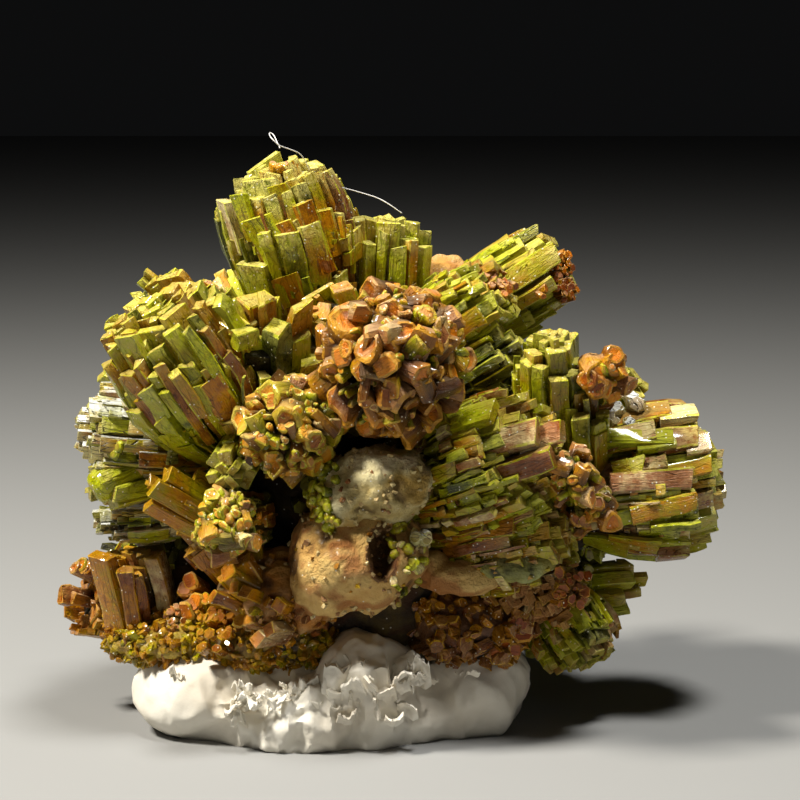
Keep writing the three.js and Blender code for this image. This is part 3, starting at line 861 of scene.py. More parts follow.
def growCore(sheaf, share):
    # the inside of a sheaf, which closes it behind the outer crystals; its dark colour is painted shade
    rows = newRows()
    wide = sheaf["radius"] * 2 * share
    addRow(rows, width=wide, depth=wide, end=0.84 - sheaf["dome"], tone=0.1, buried=1.0, shown=2.0)
    return growCopies(sheaf, patternShapes["prism"], rows)


patternShapes = {name: modelPattern(name, setup) for name, setup in patterns.items()}
pieceSizes = {}
print("pattern crystals:", {name: len(shape["sizes"]) for name, shape in patternShapes.items()})


# How the crystals of a sheaf look: lath or crystal width and thickness in mm, how far the outer ones
# step back and differ in length, how often they are broken, and their tones with their weights
looks = {
    "coarseLaths": {"wide": 1.2, "thick": 0.6, "steps": (0.5, 0.22, 0.05), "loose": 0.3, "cracks": 2, "broken": 0.4,
                    "missing": 0.34, "uneven": 0.15, "slivers": 22,
                    "tones": [(0.28, 4), (0.38, 3), (0.5, 2), (0.62, 2)]},
    "brickLaths": {"wide": 0.74, "thick": 0.48, "spread": 0.55, "ragged": 0.1, "rough": 0.14, "loose": 0.16,
                   "steps": (0.36, 0.18, 0.05), "cracks": 8, "broken": 0.6, "missing": 0.4, "uneven": 0.26,
                   "slivers": 14, "pale": 0.35, "bunch": 0.14, "chips": 4,
                   "tones": [(0.28, 3), (0.38, 4), (0.5, 3), (0.66, 2), (0.84, 2)]},
    "fineLaths": {"wide": 0.7, "thick": 0.45, "spread": 0.55, "steps": (0.42, 0.2, 0.05), "loose": 0.25,
                  "cracks": 4, "missing": 0.3, "uneven": 0.14, "slivers": 24, "chips": 4,
                  "tones": [(0.3, 3), (0.42, 3), (0.6, 2), (0.9, 1)]},
    "hoppers": {"grow": growRosette, "reach": 1.75, "wander": 0.45, "rough": 0.22, "pale": 0.3, "core": 0.66},
    "blocks": {"wide": 1.7, "thick": 1.25, "spread": 0.45, "ragged": 0.24, "rough": 0.16, "core": 0.3, "cracks": 3,
               "steps": (0.36, 0.26, 0.12), "broken": 0.35, "missing": 0.24, "uneven": 0.2, "plates": 3,
               "pale": 0.5, "bunch": 0.24, "chips": 4, "twist": 0.4, "lean": 0.06,
               "tones": [(0.28, 4), (0.4, 3), (0.54, 1), (0.84, 1)]},
    "prisms": {"wide": 1.15, "thick": 0.8, "spread": 0.35, "ragged": 0.06, "rough": 0.08,
               "steps": (0.14, 0.1, 0.05),
               "loose": 0.05, "cracks": 1, "broken": 0.8, "missing": 0.05, "uneven": 0.08, "plates": 0, "pale": 0.5,
               "bunch": 0.1, "chips": 2, "tones": [(0.22, 2), (0.28, 4), (0.4, 2)]},
}


def sheaf(base, tip, radius, foot, head, dome, look, planks=(), **changes):
    return {"base": base, "tip": tip, "radius": radius, "foot": foot, "head": head, "dome": dome,
            "planks": planks, "look": {**lathLook, **looks[look], **changes}}


def crowd(cups, shallow, beads, size, sides=(0.6, 0.66)):
    first, second = sides
    return [("hopper", int(cups * 0.75), (size * 0.7, size * 1.15), (-0.2, 0.5),
             [(first, 3), (second, 2), (0.84, 2)]),
            ("block", int(cups * 1.3), (size * 0.35, size * 0.72), (-0.2, 0.5),
             [(first, 3), (second, 3), (0.84, 2)]),
            ("shallowHopper", shallow, (size * 0.45, size * 0.8), (-0.3, 0.3), [(0.6, 3), (0.4, 2), (0.3, 1)]),
            ("knob", int(beads * 1.3), (0.35, 0.85), (-0.15, 0.15), [(0.28, 5), (0.36, 2), (0.58, 1), (0.98, 1)])]


crystalPieces = {
    "rosette_barrel": ("orange", [
        sheaf((3.9, -2, 22.2), (4.6, -14.4, 26.6), 4.8, 0.45, 0.95, 0.3, "hoppers", crowd=crowd(34, 26, 90, 2.0))]),
    "left_rosette": ("lime", [
        sheaf((-0.9, -3, 19.8), (-2.4, -12.4, 21.2), 3.3, 0.5, 0.92, 0.25, "hoppers",
              crowd=crowd(18, 16, 80, 1.6, (0.58, 0.44)))]),
    "middle_barrel": ("olive", [
        sheaf((5.8, -3.5, 15.2), (15.6, -9, 20.1), 4.7, 0.62, 0.8, 0.2, "brickLaths", planks=[
            ((11.1, -9.6, 20.0), (5.4, 1.7, 0.8), 6, 0.86), ((12.4, -10.6, 18.4), (4.6, 1.5, 0.8), 2, 0.72),
            ((9.3, -8.6, 21.3), (3.6, 1.6, 0.8), 4, 0.3), ((13.6, -10.4, 20.4), (3.2, 1.4, 0.8), 4, 0.84)]),
        sheaf((6.6, -3.5, 11.4), (17, -8, 14.1), 3.4, 0.6, 0.8, 0.2, "brickLaths")]),
    "left_fan": ("olive", [
        sheaf((-5, -3, 18), (-11.4, -7.6, 29.5), 5.1, 0.4, 0.96, 0.12, "coarseLaths", wide=1.05, rough=0.18,
              pale=0.35, lean=0.02, twist=0.16, tones=[(0.36, 3), (0.45, 4), (0.2, 1), (0.6, 2)]),
        sheaf((-4, -3.5, 19), (-4, -10, 29.4), 4, 0.4, 0.95, 0.2, "blocks", wide=1.5, rough=0.24, pale=0.3,
              tones=[(0.3, 3), (0.42, 4), (0.54, 2), (0.2, 1)])]),
    "crown_barrel": ("olive", [
        sheaf((-0.8, 1, 26.6), (-3.7, -0.6, 38), 4.65, 0.68, 0.76, 0.2, "coarseLaths", leanTone=(0.2, 0, -0.05),
              pale=1.0, planks=[
                  ((-3.5, -3.6, 31.9), (3.6, 2.1, 0.8), -14, 0.28), ((-1.8, -3.5, 31.2), (4.4, 1.3, 0.8), -9, 0.5),
                  ((-0.5, -3.5, 32.2), (4.8, 1.2, 0.8), -5, 0.6), ((0.3, -2.5, 32.4), (3.0, 1.1, 0.8), 0, 0.56),
                  ((-2.5, -3.1, 34.4), (2.6, 1.3, 0.8), -8, 0.5), ((-6.1, -1.9, 32.7), (3.6, 1.4, 0.7), 0, 0.98),
                  ((-5.0, -3.2, 33.4), (3.2, 1.1, 0.7), -4, 0.3)])]),
    "right_barrel": ("olive", [
        sheaf((16, -0.4, 15), (27.4, 0.6, 16.4), 5.2, 0.6, 0.78, 0.14, "coarseLaths",
              tones=[(0.28, 3), (0.4, 2), (0.54, 2), (0.84, 3)], planks=[
                  # the first plank, white, stands in for a glint: a painted highlight
                  ((23.1, -1.4, 20.5), (2.6, 1.7, 0.7), 0, 1.0), ((20.3, -3.3, 19.2), (4.6, 1.2, 0.8), 8, 0.3),
                  ((21.2, -4.6, 16.6), (5.2, 1.4, 0.9), 4, 0.84), ((23.6, -3.8, 17.2), (3.0, 1.2, 0.8), -4, 0.46),
                  ((24.2, -2.9, 18.7), (1.6, 1.5, 1.2), 0, 0.95), ((22.0, -4.6, 14.8), (4.4, 1.3, 0.9), -6, 0.52),
                  ((19.6, -4.2, 14.2), (3.6, 1.2, 0.8), -8, 0.28)])]),
    "left_barrel": ("silverSheen", [
        # its cream tones and the finish's white film are partly painted reflection, the silvery sheen of its laths
        sheaf((-6.4, -1.5, 18.6), (-17.3, -3.4, 19.9), 3.7, 0.6, 0.78, 0.2, "fineLaths",
              tones=[(0.96, 3), (0.42, 3), (0.3, 1), (0.58, 2)])]),
    "upper_right_barrel": ("olive", [
        sheaf((8, 4, 25.2), (16.7, 4, 30.9), 3.3, 0.62, 0.86, 0.1, "coarseLaths", tones=[(0.28, 5), (0.4, 2)])]),
    "upper_middle_barrel": ("olive", [
        sheaf((4.8, 1, 24.2), (12.6, -2.2, 29.3), 2.9, 0.7, 0.85, 0.12, "brickLaths", tones=[(0.3, 4), (0.5, 2)])]),
    "small_rosette": ("lime", [
        sheaf((-4.2, -4.5, 14), (-6.1, -12.4, 15), 2.1, 0.7, 0.95, 0.1, "hoppers",
              crowd=crowd(7, 6, 70, 1.3, (0.56, 0.4)))]),
    "amber_laths": ("amber", [
        sheaf((-5.4, -4.6, 13.2), (-11.6, -8, 17.4), 1.9, 0.75, 0.8, 0.3, "coarseLaths", wide=1.5, thick=0.7,
              slivers=3, plates=2, cracks=0, tones=[(0.46, 3), (0.54, 2)], planks=[
                  ((-8.4, -8.3, 15.5), (5.6, 1.3, 0.8), 0, 0.48), ((-8.0, -7.9, 16.5), (4.4, 1.1, 0.8), 4, 0.45),
                  ((-9.1, -8.1, 14.6), (4.6, 1.1, 0.8), -3, 0.53)]),
        sheaf((-5.2, -4, 9.4), (-9.8, -5.6, 14.6), 1.3, 0.9, 0.9, 0.4, "coarseLaths", slivers=3, cracks=0,
              tones=[(0.6, 2), (0.68, 2)])]),
    "pale_lath": ("olive", [
        sheaf((-4.6, -4.8, 19.6), (-5.9, -11.2, 17.6), 1.6, 0.8, 0.95, 0.2, "prisms")]),
    "orange_block": ("orange", [
        sheaf((1.6, -3.2, 25.2), (0.2, -7.6, 29.4), 1.5, 0.8, 0.95, 0.2, "blocks")]),
    "upper_prisms": ("olive", [
        sheaf((4, 2, 25.6), (4.5, 1, 34), 2.6, 0.85, 0.95, 0.12, "prisms", wide=1.3, pale=0.9,
              tones=[(0.28, 3), (0.36, 2)])]),
    "right_prisms": ("olive", [
        sheaf((14.8, -2, 19.8), (14.4, -5, 26.8), 2.3, 0.8, 0.9, 0.24, "prisms")]),
    "right_rosette": ("orange", [
        sheaf((17, 0.4, 20.4), (18, -6, 24.2), 1.6, 0.75, 0.95, 0.15, "hoppers", crowd=crowd(6, 4, 14, 1.6))]),
    "middle_rosette": ("orange", [
        sheaf((15, -3.6, 15.6), (15.8, -11.4, 18.4), 1.5, 0.8, 0.95, 0.15, "hoppers", crowd=crowd(6, 5, 16, 1.3)),
        sheaf((15.2, -3.6, 13.4), (17.7, -9.4, 16), 1.5, 0.8, 0.9, 0.2, "hoppers", crowd=crowd(6, 5, 16, 1.3))]),
    "thin_prisms": ("olive", [
        sheaf((17.2, -2, 16.8), (16.6, -5, 23.4), 1.6, 0.85, 0.85, 0.4, "prisms", wide=0.9)]),
    "dark_prisms": ("olive", [
        sheaf((8, -1, 22.4), (13.2, -3.2, 25.9), 1.5, 0.8, 0.9, 0.25, "prisms", tones=[(0.1, 2), (0.2, 1)])]),
    "tan_barrel": ("tan", [
        sheaf((12.8, 0, 9.6), (14, -8.8, 10.2), 3.2, 0.7, 0.85, 0.14, "brickLaths", rough=0.2,
              tones=[(0.84, 2), (0.56, 2), (0.94, 1)])]),
    "lower_right_barrel": ("olive", [
        sheaf((14.6, -0.6, 8.6), (18, -4.4, 4), 2.8, 0.75, 0.85, 0.2, "brickLaths",
              tones=[(0.14, 3), (0.36, 3), (0.66, 2), (0.9, 1)])]),
    "lower_right_prisms": ("olive", [
        sheaf((16, 0.6, 8.2), (21.9, 0.6, 8.6), 1.7, 0.8, 0.9, 0.3, "prisms", wide=1.0)]),
    "pale_knob": ("olive", [
        sheaf((17.6, 3, 19.6), (21, 1.4, 23), 1.4, 0.85, 0.9, 0.15, "prisms", wide=1.0)]),
    "green_crystal": ("olive", [
        sheaf((-10, -2.4, 17), (-15.6, -5.6, 16), 1.6, 0.9, 0.85, 0.1, "prisms", tones=[(0.2, 1), (0.36, 1)])]),
    "left_silver_barrel": ("silverSheen", [
        sheaf((-8.6, -1.4, 13.6), (-16.4, -2.8, 13.4), 1.8, 0.75, 0.85, 0.2, "fineLaths",
              tones=[(0.98, 3), (0.14, 2), (0.4, 2)])]),
    "amber_column": ("amber", [
        sheaf((-12, -1.4, 5.6), (-13.2, -3.4, 12.2), 2.4, 0.9, 0.85, 0.14, "prisms", wide=1.7, thick=0.9,
              slivers=3, leanTone=(0.14, 0, 0), tones=[(0.62, 1), (0.69, 2)], planks=[
                  ((-14.0, -4.5, 8.7), (6.6, 1.6, 1.0), 0, 0.56),
                  ((-12.6, -5.0, 8.3), (5.6, 1.0, 0.9), 3, 0.66)])]),
    "orange_spur": ("orange", [
        sheaf((-13.2, 0.8, 6.8), (-18.7, -1.6, 8.2), 2.1, 0.85, 0.85, 0.3, "blocks", wide=1.3, thick=1.1,
              rough=0.26, twist=0.8, lean=0.2, slivers=4, missing=0.1, tones=[(0.57, 4), (0.62, 1)])]),
    "left_dark_prisms": ("olive", [
        sheaf((-9.6, 2, 21), (-15.6, 0.4, 23.2), 1.6, 0.8, 0.9, 0.3, "prisms", wide=1.0)]),
    "left_top_knob": ("olive", [
        sheaf((-7.4, 3.6, 24.6), (-12.6, 3, 29.6), 1.5, 0.85, 0.9, 0.15, "prisms", wide=1.0)]),
    "back_barrel": ("olive", [
        sheaf((2, 5, 16.4), (3.4, 15.4, 17.8), 4.4, 0.6, 0.82, 0.18, "coarseLaths")]),
    "back_top_barrel": ("olive", [
        sheaf((-4, 4, 22.6), (-7.2, 11.4, 28.4), 3.7, 0.55, 0.85, 0.18, "fineLaths")]),
    "back_left_barrel": ("olive", [
        sheaf((-6, 3.4, 15.6), (-13.6, 9, 17), 3.3, 0.6, 0.82, 0.18, "brickLaths")]),
    "back_right_barrel": ("olive", [
        sheaf((11.4, 4, 17.4), (18, 11.4, 20.6), 3.8, 0.6, 0.85, 0.16, "coarseLaths")]),
    "back_upper_rosette": ("orange", [
        sheaf((4, 5, 23.2), (6, 12.6, 27.4), 2.7, 0.6, 0.95, 0.25, "hoppers", crowd=crowd(14, 12, 50, 1.6))]),
    "back_low_barrel": ("olive", [
        sheaf((11.6, 3.6, 10.6), (18.2, 9.4, 9.4), 3, 0.65, 0.82, 0.2, "brickLaths")]),
    "back_low_rosette": ("amber", [
        sheaf((-6, 4.4, 10), (-10.4, 11.2, 9.4), 2.5, 0.7, 0.9, 0.2, "blocks")]),
}


def finishGrowth(name, parts, node, finish):
    obj = meshFromGrowth(name, joinGrowth(parts))
    smoothPiece(obj)
    finishPiece(obj, node, finishes[finish])


def buildCrystalPiece(node, finish, sheaves):
    parts = []
    for one in sheaves:
        parts += one["look"]["grow"](one, one["look"])
        parts.append(growCore(one, one["look"]["core"]))
    finishGrowth(node + "_crystals", parts, node, finish)


addCamera(cameraSetup)
addLights()
for node, (finish, sheaves) in crystalPieces.items():
    buildCrystalPiece(node, finish, sheaves)
print("crystals:", sum(pieceSizes.values()), "triangles")


# Rock, crusts and putty

def modelLump(name, blobs, voxel, hollow=None):
    # rounded lumps merged into one closed body, with an even mesh
    made = []
    for centre, radii in blobs:
        clearSelection()
        bpy.ops.mesh.primitive_ico_sphere_add(subdivisions=4, location=Vector(centre) * mm)
        bpy.context.active_object.scale = Vector(radii) * mm
        bpy.ops.object.transform_apply(location=True, rotation=True, scale=True)
        made.append(bpy.context.active_object)
    obj = made.pop()
    selectOnly(obj, *made)
    bpy.ops.object.join()
    obj.name = name
    applyModifier("REMESH", voxel_size=voxel * mm)
    if hollow:
        cutter = modelLump(name + "Hollow", [hollow], voxel)
        selectOnly(obj)
        applyModifier("BOOLEAN", operation="DIFFERENCE", object=cutter)
        bpy.data.objects.remove(cutter)
    return obj


def readPoints(obj):
    points = np.empty(len(obj.data.vertices) * 3)
    obj.data.vertices.foreach_get("co", points)
    normals = np.empty(len(obj.data.vertices) * 3)
    obj.data.vertices.foreach_get("normal", normals)
    return points.reshape(-1, 3) / mm, normals.reshape(-1, 3)


def writePoints(obj, points):
    obj.data.vertices.foreach_set("co", (points * mm).astype(np.float32).ravel())
    obj.data.update()


def weather(obj, layers, seed=0, hollow=None):
    # roughens a body: each layer is a kind of relief with its size and height in mm, and may keep to one spot
    points, normals = readPoints(obj)
    total = np.zeros(len(points))
    reliefs = {
        "swell": lambda spots: valueNoise(spots, seed),
        "ridges": lambda spots: 0.5 - 2 * np.abs(valueNoise(spots, seed + 3)),
        "folds": lambda spots: 0.5 - 2 * np.abs(valueNoise(spots * (1, 1, 0.3), seed + 7)),
        "cells": lambda spots: 0.6 - 1.3 * cellNoise(spots, seed),
    }
    for kind, size, height, *where in layers:
        bent = points / size + 0.35 * noiseVectors(points / size, seed + 5)
        for spot, reach in where:
            height = height * np.clip(1.6 - 1.6 * np.linalg.norm((points - spot) / reach, axis=1), 0, 1)
        total += height * reliefs[kind](bent)
    writePoints(obj, points + normals * total[:, None])
    # the relief level from hollows to crests, which the rock's material turns into painted shade in the hollows;
    # inside a cut hollow the level is lowest, so that it is painted darkest
    low, high = np.percentile(total, (4, 96))
    level = np.clip((total - low) / (high - low), 0, 1)
    if hollow:
        inside = np.linalg.norm((points - np.array(hollow[0])) / np.array(hollow[1]), axis=1) < 1.04
        level = np.where(inside, 0, level)
    relief = obj.data.attributes.new("rockRelief", "FLOAT", "POINT")
    relief.data.foreach_set("value", level.astype(np.float32))


# low, mid and high: colours from hollows to crests, darker low down as painted shade; top: dust with a painted
# sheen on what faces up; even: how little the relief shows
rockFinishes = {
    "body": {"low": (0.006, 0.004, 0.002), "mid": (0.028, 0.015, 0.004), "high": (0.10, 0.065, 0.012),
             "stain": (0.05, 0.014, 0.003), "top": (0.07, 0.05, 0.015), "roughness": 0.85, "bump": 0.9,
             "gloss": 0.0},
    "pale": {"low": (0.26, 0.15, 0.04), "mid": (0.56, 0.42, 0.14), "high": (0.84, 0.76, 0.44),
             "stain": (0.46, 0.25, 0.01), "top": (0.90, 0.80, 0.56), "roughness": 0.7, "bump": 1.0, "gloss": 0.1,
             "even": 0.5},
    "tan": {"low": (0.16, 0.05, 0.005), "mid": (0.58, 0.31, 0.07), "high": (0.74, 0.50, 0.16),
            "stain": (0.34, 0.09, 0.006), "top": (0.64, 0.42, 0.13), "roughness": 0.7, "bump": 1.0, "gloss": 0.1,
            "even": 0.5},
    "pink": {"low": (0.09, 0.02, 0.003), "mid": (0.46, 0.18, 0.02), "high": (0.62, 0.38, 0.15),
             "stain": (0.46, 0.16, 0.003), "top": (0.60, 0.32, 0.06), "roughness": 0.5, "bump": 0.9, "gloss": 0.2,
             "even": 0.4},
    "mint": {"low": (0.08, 0.08, 0.01), "mid": (0.26, 0.26, 0.06), "high": (0.40, 0.42, 0.15),
             "stain": (0.30, 0.24, 0.02), "top": (0.50, 0.50, 0.22), "roughness": 0.5, "bump": 0.9, "gloss": 0.2},
    "brown": {"low": (0.010, 0.003, 0.001), "mid": (0.06, 0.017, 0.003), "high": (0.15, 0.055, 0.01),
              "stain": (0.20, 0.05, 0.004), "top": (0.14, 0.06, 0.012), "roughness": 0.5, "bump": 0.7,
              "gloss": 0.25},
    "golden": {"low": (0.05, 0.022, 0.002), "mid": (0.30, 0.17, 0.008), "high": (0.50, 0.36, 0.03),
               "stain": (0.16, 0.055, 0.004), "top": (0.44, 0.30, 0.02), "roughness": 0.4, "bump": 0.8,
               "gloss": 0.4},
}


def rockMaterial(name, finish):
    material, tree, shader = newMaterial(name)
    relief = addNode(tree, "ShaderNodeAttribute", attribute_name="rockRelief")
    patches = placeGroup(tree, effects["patches"], Scale=430.0)
    dustAndGlints = placeGroup(tree, effects["dustAndGlints"], Share=0.04)
    even = finish.get("even", 0.0)
    # colour by relief: darker in the hollows, as painted shade; even flattens it
    reliefLevel = plus(tree, times(tree, relief.outputs["Fac"], 1 - even), 0.62 * even)
    level = plus(tree, reliefLevel, swing(tree, patches.outputs["Fine"], 0.5))
    color = rampNode(tree, level, [(0.08, finish["low"]), (0.42, finish["mid"]), (0.85, finish["high"])])
    stained = stepBetween(tree, patches.outputs["Broad"], 0.5, 0.64)
    color = mixColor(tree, times(tree, stained, 0.75), color, finish["stain"])
    # dust and a painted sheen on what faces up
    color = mixColor(tree, times(tree, dustAndGlints.outputs["DustAndSheen"], 0.7), color, finish["top"])
    # painted shade deep in the hollows, less on the evener finishes
    hollowShadowMask = minus(tree, 1.0, stepBetween(tree, relief.outputs["Fac"], 0.02, 0.3))
    hollowShade = [value * 0.4 for value in finish["low"]]
    color = mixColor(tree, times(tree, hollowShadowMask, 0.9 - 0.5 * even), color, hollowShade)
    # painted glints
    color = mixColor(tree, dustAndGlints.outputs["Glints"], color, (0.8, 0.8, 0.72))
    tree.links.new(color, shader.inputs["Base Color"])
    rough = plus(tree, swing(tree, patches.outputs["Fine"], 0.6), finish["roughness"], clamp=True)
    tree.links.new(rough, shader.inputs["Roughness"])
    shader.inputs["Coat Weight"].default_value = finish["gloss"]
    shader.inputs["Coat Roughness"].default_value = 0.2
    grain = noiseNode(tree, objectPlace(tree), 3400.0, 5, 0.7)
    addBump(tree, shader, plus(tree, grain, patches.outputs["Fine"]), finish["bump"], 0.3)
    return material


rocks = {
    "rockBody": {"finish": "body", "voxel": 0.42,
     "blobs": [((2, 1.4, 17.6), (10.5, 6.8, 8.4)), ((12.4, 1, 14.8), (6.4, 5.6, 6.6)),
               ((-7.6, 3.2, 9), (6.8, 5, 4.2)), ((3, 0.6, 8.8), (11, 7.4, 4.6)), ((12.6, 0.4, 8.6), (4.6, 4.6, 4))],
     "relief": [("swell", 4.0, 0.6), ("cells", 2.2, 0.7), ("cells", 0.9, 0.25)]},
    "paleLump": {"finish": "pale", "voxel": 0.16,
     "blobs": [((3.7, -8.2, 16.9), (3.5, 3.8, 2.5)), ((1.6, -8.6, 16.2), (2, 3, 2.2)),
               ((5.2, -8.4, 17.3), (2, 3, 2))],
     "relief": [("swell", 2.6, 0.4), ("cells", 1.9, 0.4), ("cells", 0.8, 0.14), ("swell", 0.35, 0.05)]},
    "tanLump": {"finish": "tan", "voxel": 0.18, "hollow": ((3.8, -11.4, 13.2), (1, 3, 1.8)),
     "blobs": [((2.2, -7.4, 12.4), (4.4, 4.5, 3.6)), ((0.4, -8, 11.4), (2.8, 3.4, 2.8))],
     "relief": [("swell", 3.0, 0.4), ("cells", 2.2, 0.4), ("swell", 0.7, 0.12), ("swell", 0.35, 0.06)]},
    "pinkChunk": {"finish": "pink", "voxel": 0.18,
     "blobs": [((-2.8, -5.8, 9.6), (3.8, 3.8, 2.9)), ((-1.4, -6.6, 9.2), (2.4, 3, 2))],
     "relief": [("swell", 2.6, 0.4), ("cells", 1.8, 0.4), ("ridges", 0.9, 0.1), ("swell", 0.35, 0.06)]},
    "brownCrust": {"finish": "brown", "voxel": 0.2,
     "blobs": [((9.4, -4, 7.2), (4, 3.6, 2.8)), ((7.6, -3.6, 7.6), (2.6, 3.2, 2.2))],
     "relief": [("swell", 2.4, 0.35), ("cells", 1.2, 0.35), ("cells", 0.5, 0.12)]},
    "lowerLeftCrust": {"finish": "golden", "voxel": 0.22,
     "blobs": [((-9.6, -2.6, 5.8), (4.8, 3.8, 1.8)), ((-3.8, -4.4, 6.2), (4.8, 3.6, 2.2))],
     "relief": [("swell", 2.4, 0.3), ("cells", 1.0, 0.4), ("cells", 0.45, 0.15)]},
    "paleShell": {"finish": "tan", "voxel": 0.16,
     "blobs": [((8.6, -7.4, 10.8), (2.7, 1.2, 1.1)), ((6.9, -6.8, 11.2), (1.4, 1.4, 1.3))],
     "relief": [("swell", 2.0, 0.25), ("ridges", 0.9, 0.12), ("swell", 0.35, 0.05)]},
    "mintShell": {"finish": "mint", "voxel": 0.16,
     "blobs": [((12.0, -8.1, 11.5), (2.3, 1.1, 0.9)), ((13.6, -8.0, 11.9), (1.4, 0.9, 0.8))],
     "relief": [("swell", 1.6, 0.3), ("ridges", 0.9, 0.12), ("swell", 0.35, 0.06)]},
    "orangeKnob": {"finish": "pink", "voxel": 0.16,
     "blobs": [((7.9, 5.2, 27.7), (2.5, 2.4, 2.6))],
     "relief": [("swell", 1.8, 0.3), ("cells", 1.2, 0.3), ("cells", 0.5, 0.1)]},
}


def buildRock(name, rock, seed):
    obj = modelLump(name, rock["blobs"], rock["voxel"], rock.get("hollow"))
    weather(obj, rock["relief"], seed, rock.get("hollow"))
    smoothPiece(obj, 60)
    finishPiece(obj, "limonite_matrix", rockMaterial(name + "Look", rockFinishes[rock["finish"]]))
    return obj


rockObjects = {name: buildRock(name, rock, 31 * index) for index, (name, rock) in enumerate(rocks.items())}


def growScatter(obj, crust):
    # crystals that stand on a body's surface, close together
    points, normals = readPoints(obj)
    low, high = np.array(crust.get("low", (-99, -99, -99))), np.array(crust.get("high", (99, 99, 99)))
    fit = np.flatnonzero(((points > low) & (points < high)).all(axis=1))
    rows = newRows("foot", "along")
    for index in chance.choice(fit, min(crust["count"], len(fit)), replace=False):
        width, tall = chance.uniform(*crust["width"]), chance.uniform(*crust["tall"])
        along = normals[index] + chance.normal(0, crust["wander"], 3)
        along /= np.linalg.norm(along)
        if along @ normals[index] < 0.2:
            continue
        addRow(rows, foot=points[index] - along * tall * 0.4, along=along, end=tall, width=width,
               depth=width * chance.uniform(0.6, 1.1), turn=chance.uniform(0, math.pi),
               slantX=chance.normal(0, 0.3),
               slantY=chance.normal(0, 0.3), tone=pickTone(crust), buried=crust.get("buried", 0.6), shown=0.45,
               pale=0.2, capped=crust.get("capped", 0.6))
    return growLoose(crust["kind"], rows, crust.get("rough", 0.08))


crusts = {
    "goldenCrust": ("amber", [
        {"on": "lowerLeftCrust", "kind": "grain", "count": 1900, "width": (0.15, 0.5), "tall": (0.35, 1.0),
         "wander": 0.8, "rough": 0.14, "tones": [(0.44, 3), (0.52, 3), (0.62, 1)], "capped": 0.1},
        {"on": "pinkChunk", "kind": "grain", "count": 120, "low": (-9, -12, 5), "high": (-2, 0, 9.4),
         "width": (0.3, 0.8), "tall": (0.4, 1.2), "wander": 0.5, "tones": [(0.45, 2), (0.6, 2), (0.84, 1)]}]),
    "brownCrystals": ("amber", [
        {"on": "brownCrust", "kind": "grain", "count": 420, "width": (0.25, 0.9), "tall": (0.4, 1.2), "wander": 0.6,
         "tones": [(0.62, 1), (0.7, 4), (0.76, 1)], "capped": 0.0, "rough": 0.18}]),
    "rockCrystals": ("olive", [
        {"on": "rockBody", "kind": "grain", "count": 1300, "low": (-99, -1, -99), "width": (0.4, 1.3),
         "tall": (0.8, 2.2), "wander": 0.4, "tones": [(0.02, 4), (0.08, 3), (0.16, 1), (0.7, 1)], "rough": 0.14},
        {"on": "rockBody", "kind": "grain", "count": 300, "low": (-99, -99, 15), "width": (0.4, 1.0),
         "tall": (0.8, 1.6), "wander": 0.4, "tones": [(0.0, 3), (0.7, 1)], "rough": 0.14},
        {"on": "rockBody", "kind": "chip", "count": 500, "low": (-99, -1, -99), "width": (0.4, 1.3),
         "tall": (1.0, 2.6), "wander": 0.5, "tones": [(0.04, 4), (0.12, 2), (0.24, 1)], "rough": 0.14}]),
    "lumpBeads": ("olive", [
        {"on": "paleLump", "kind": "knob", "count": 90, "low": (-3, -14, 13), "high": (1.0, 0, 20),
         "width": (0.3, 0.9), "tall": (0.4, 1.0), "wander": 0.4, "tones": [(0.3, 3), (0.4, 2), (0.58, 1)]},
        {"on": "tanLump", "kind": "knob", "count": 50, "low": (4.2, -14, 8), "high": (9, 0, 18),
         "width": (0.3, 0.9), "tall": (0.4, 1.0), "wander": 0.4, "tones": [(0.3, 3), (0.98, 2)]}]),
    "creamGrit": ("tan", [
        {"on": "paleLump", "kind": "chip", "count": 240, "width": (0.12, 0.34), "tall": (0.12, 0.3), "wander": 0.8,
         "tones": [(1.0, 3), (0.9, 1)], "capped": 0.0, "buried": 0.0},
        {"on": "tanLump", "kind": "chip", "count": 220, "width": (0.12, 0.34), "tall": (0.12, 0.3), "wander": 0.8,
         "tones": [(0.94, 3), (0.86, 1), (0.58, 1)], "capped": 0.0, "buried": 0.0},
        {"on": "pinkChunk", "kind": "chip", "count": 160, "width": (0.2, 0.6), "tall": (0.16, 0.4), "wander": 0.6,
         "tones": [(0.92, 2), (0.58, 2), (0.66, 1)], "capped": 0.0, "buried": 0.0}]),
}

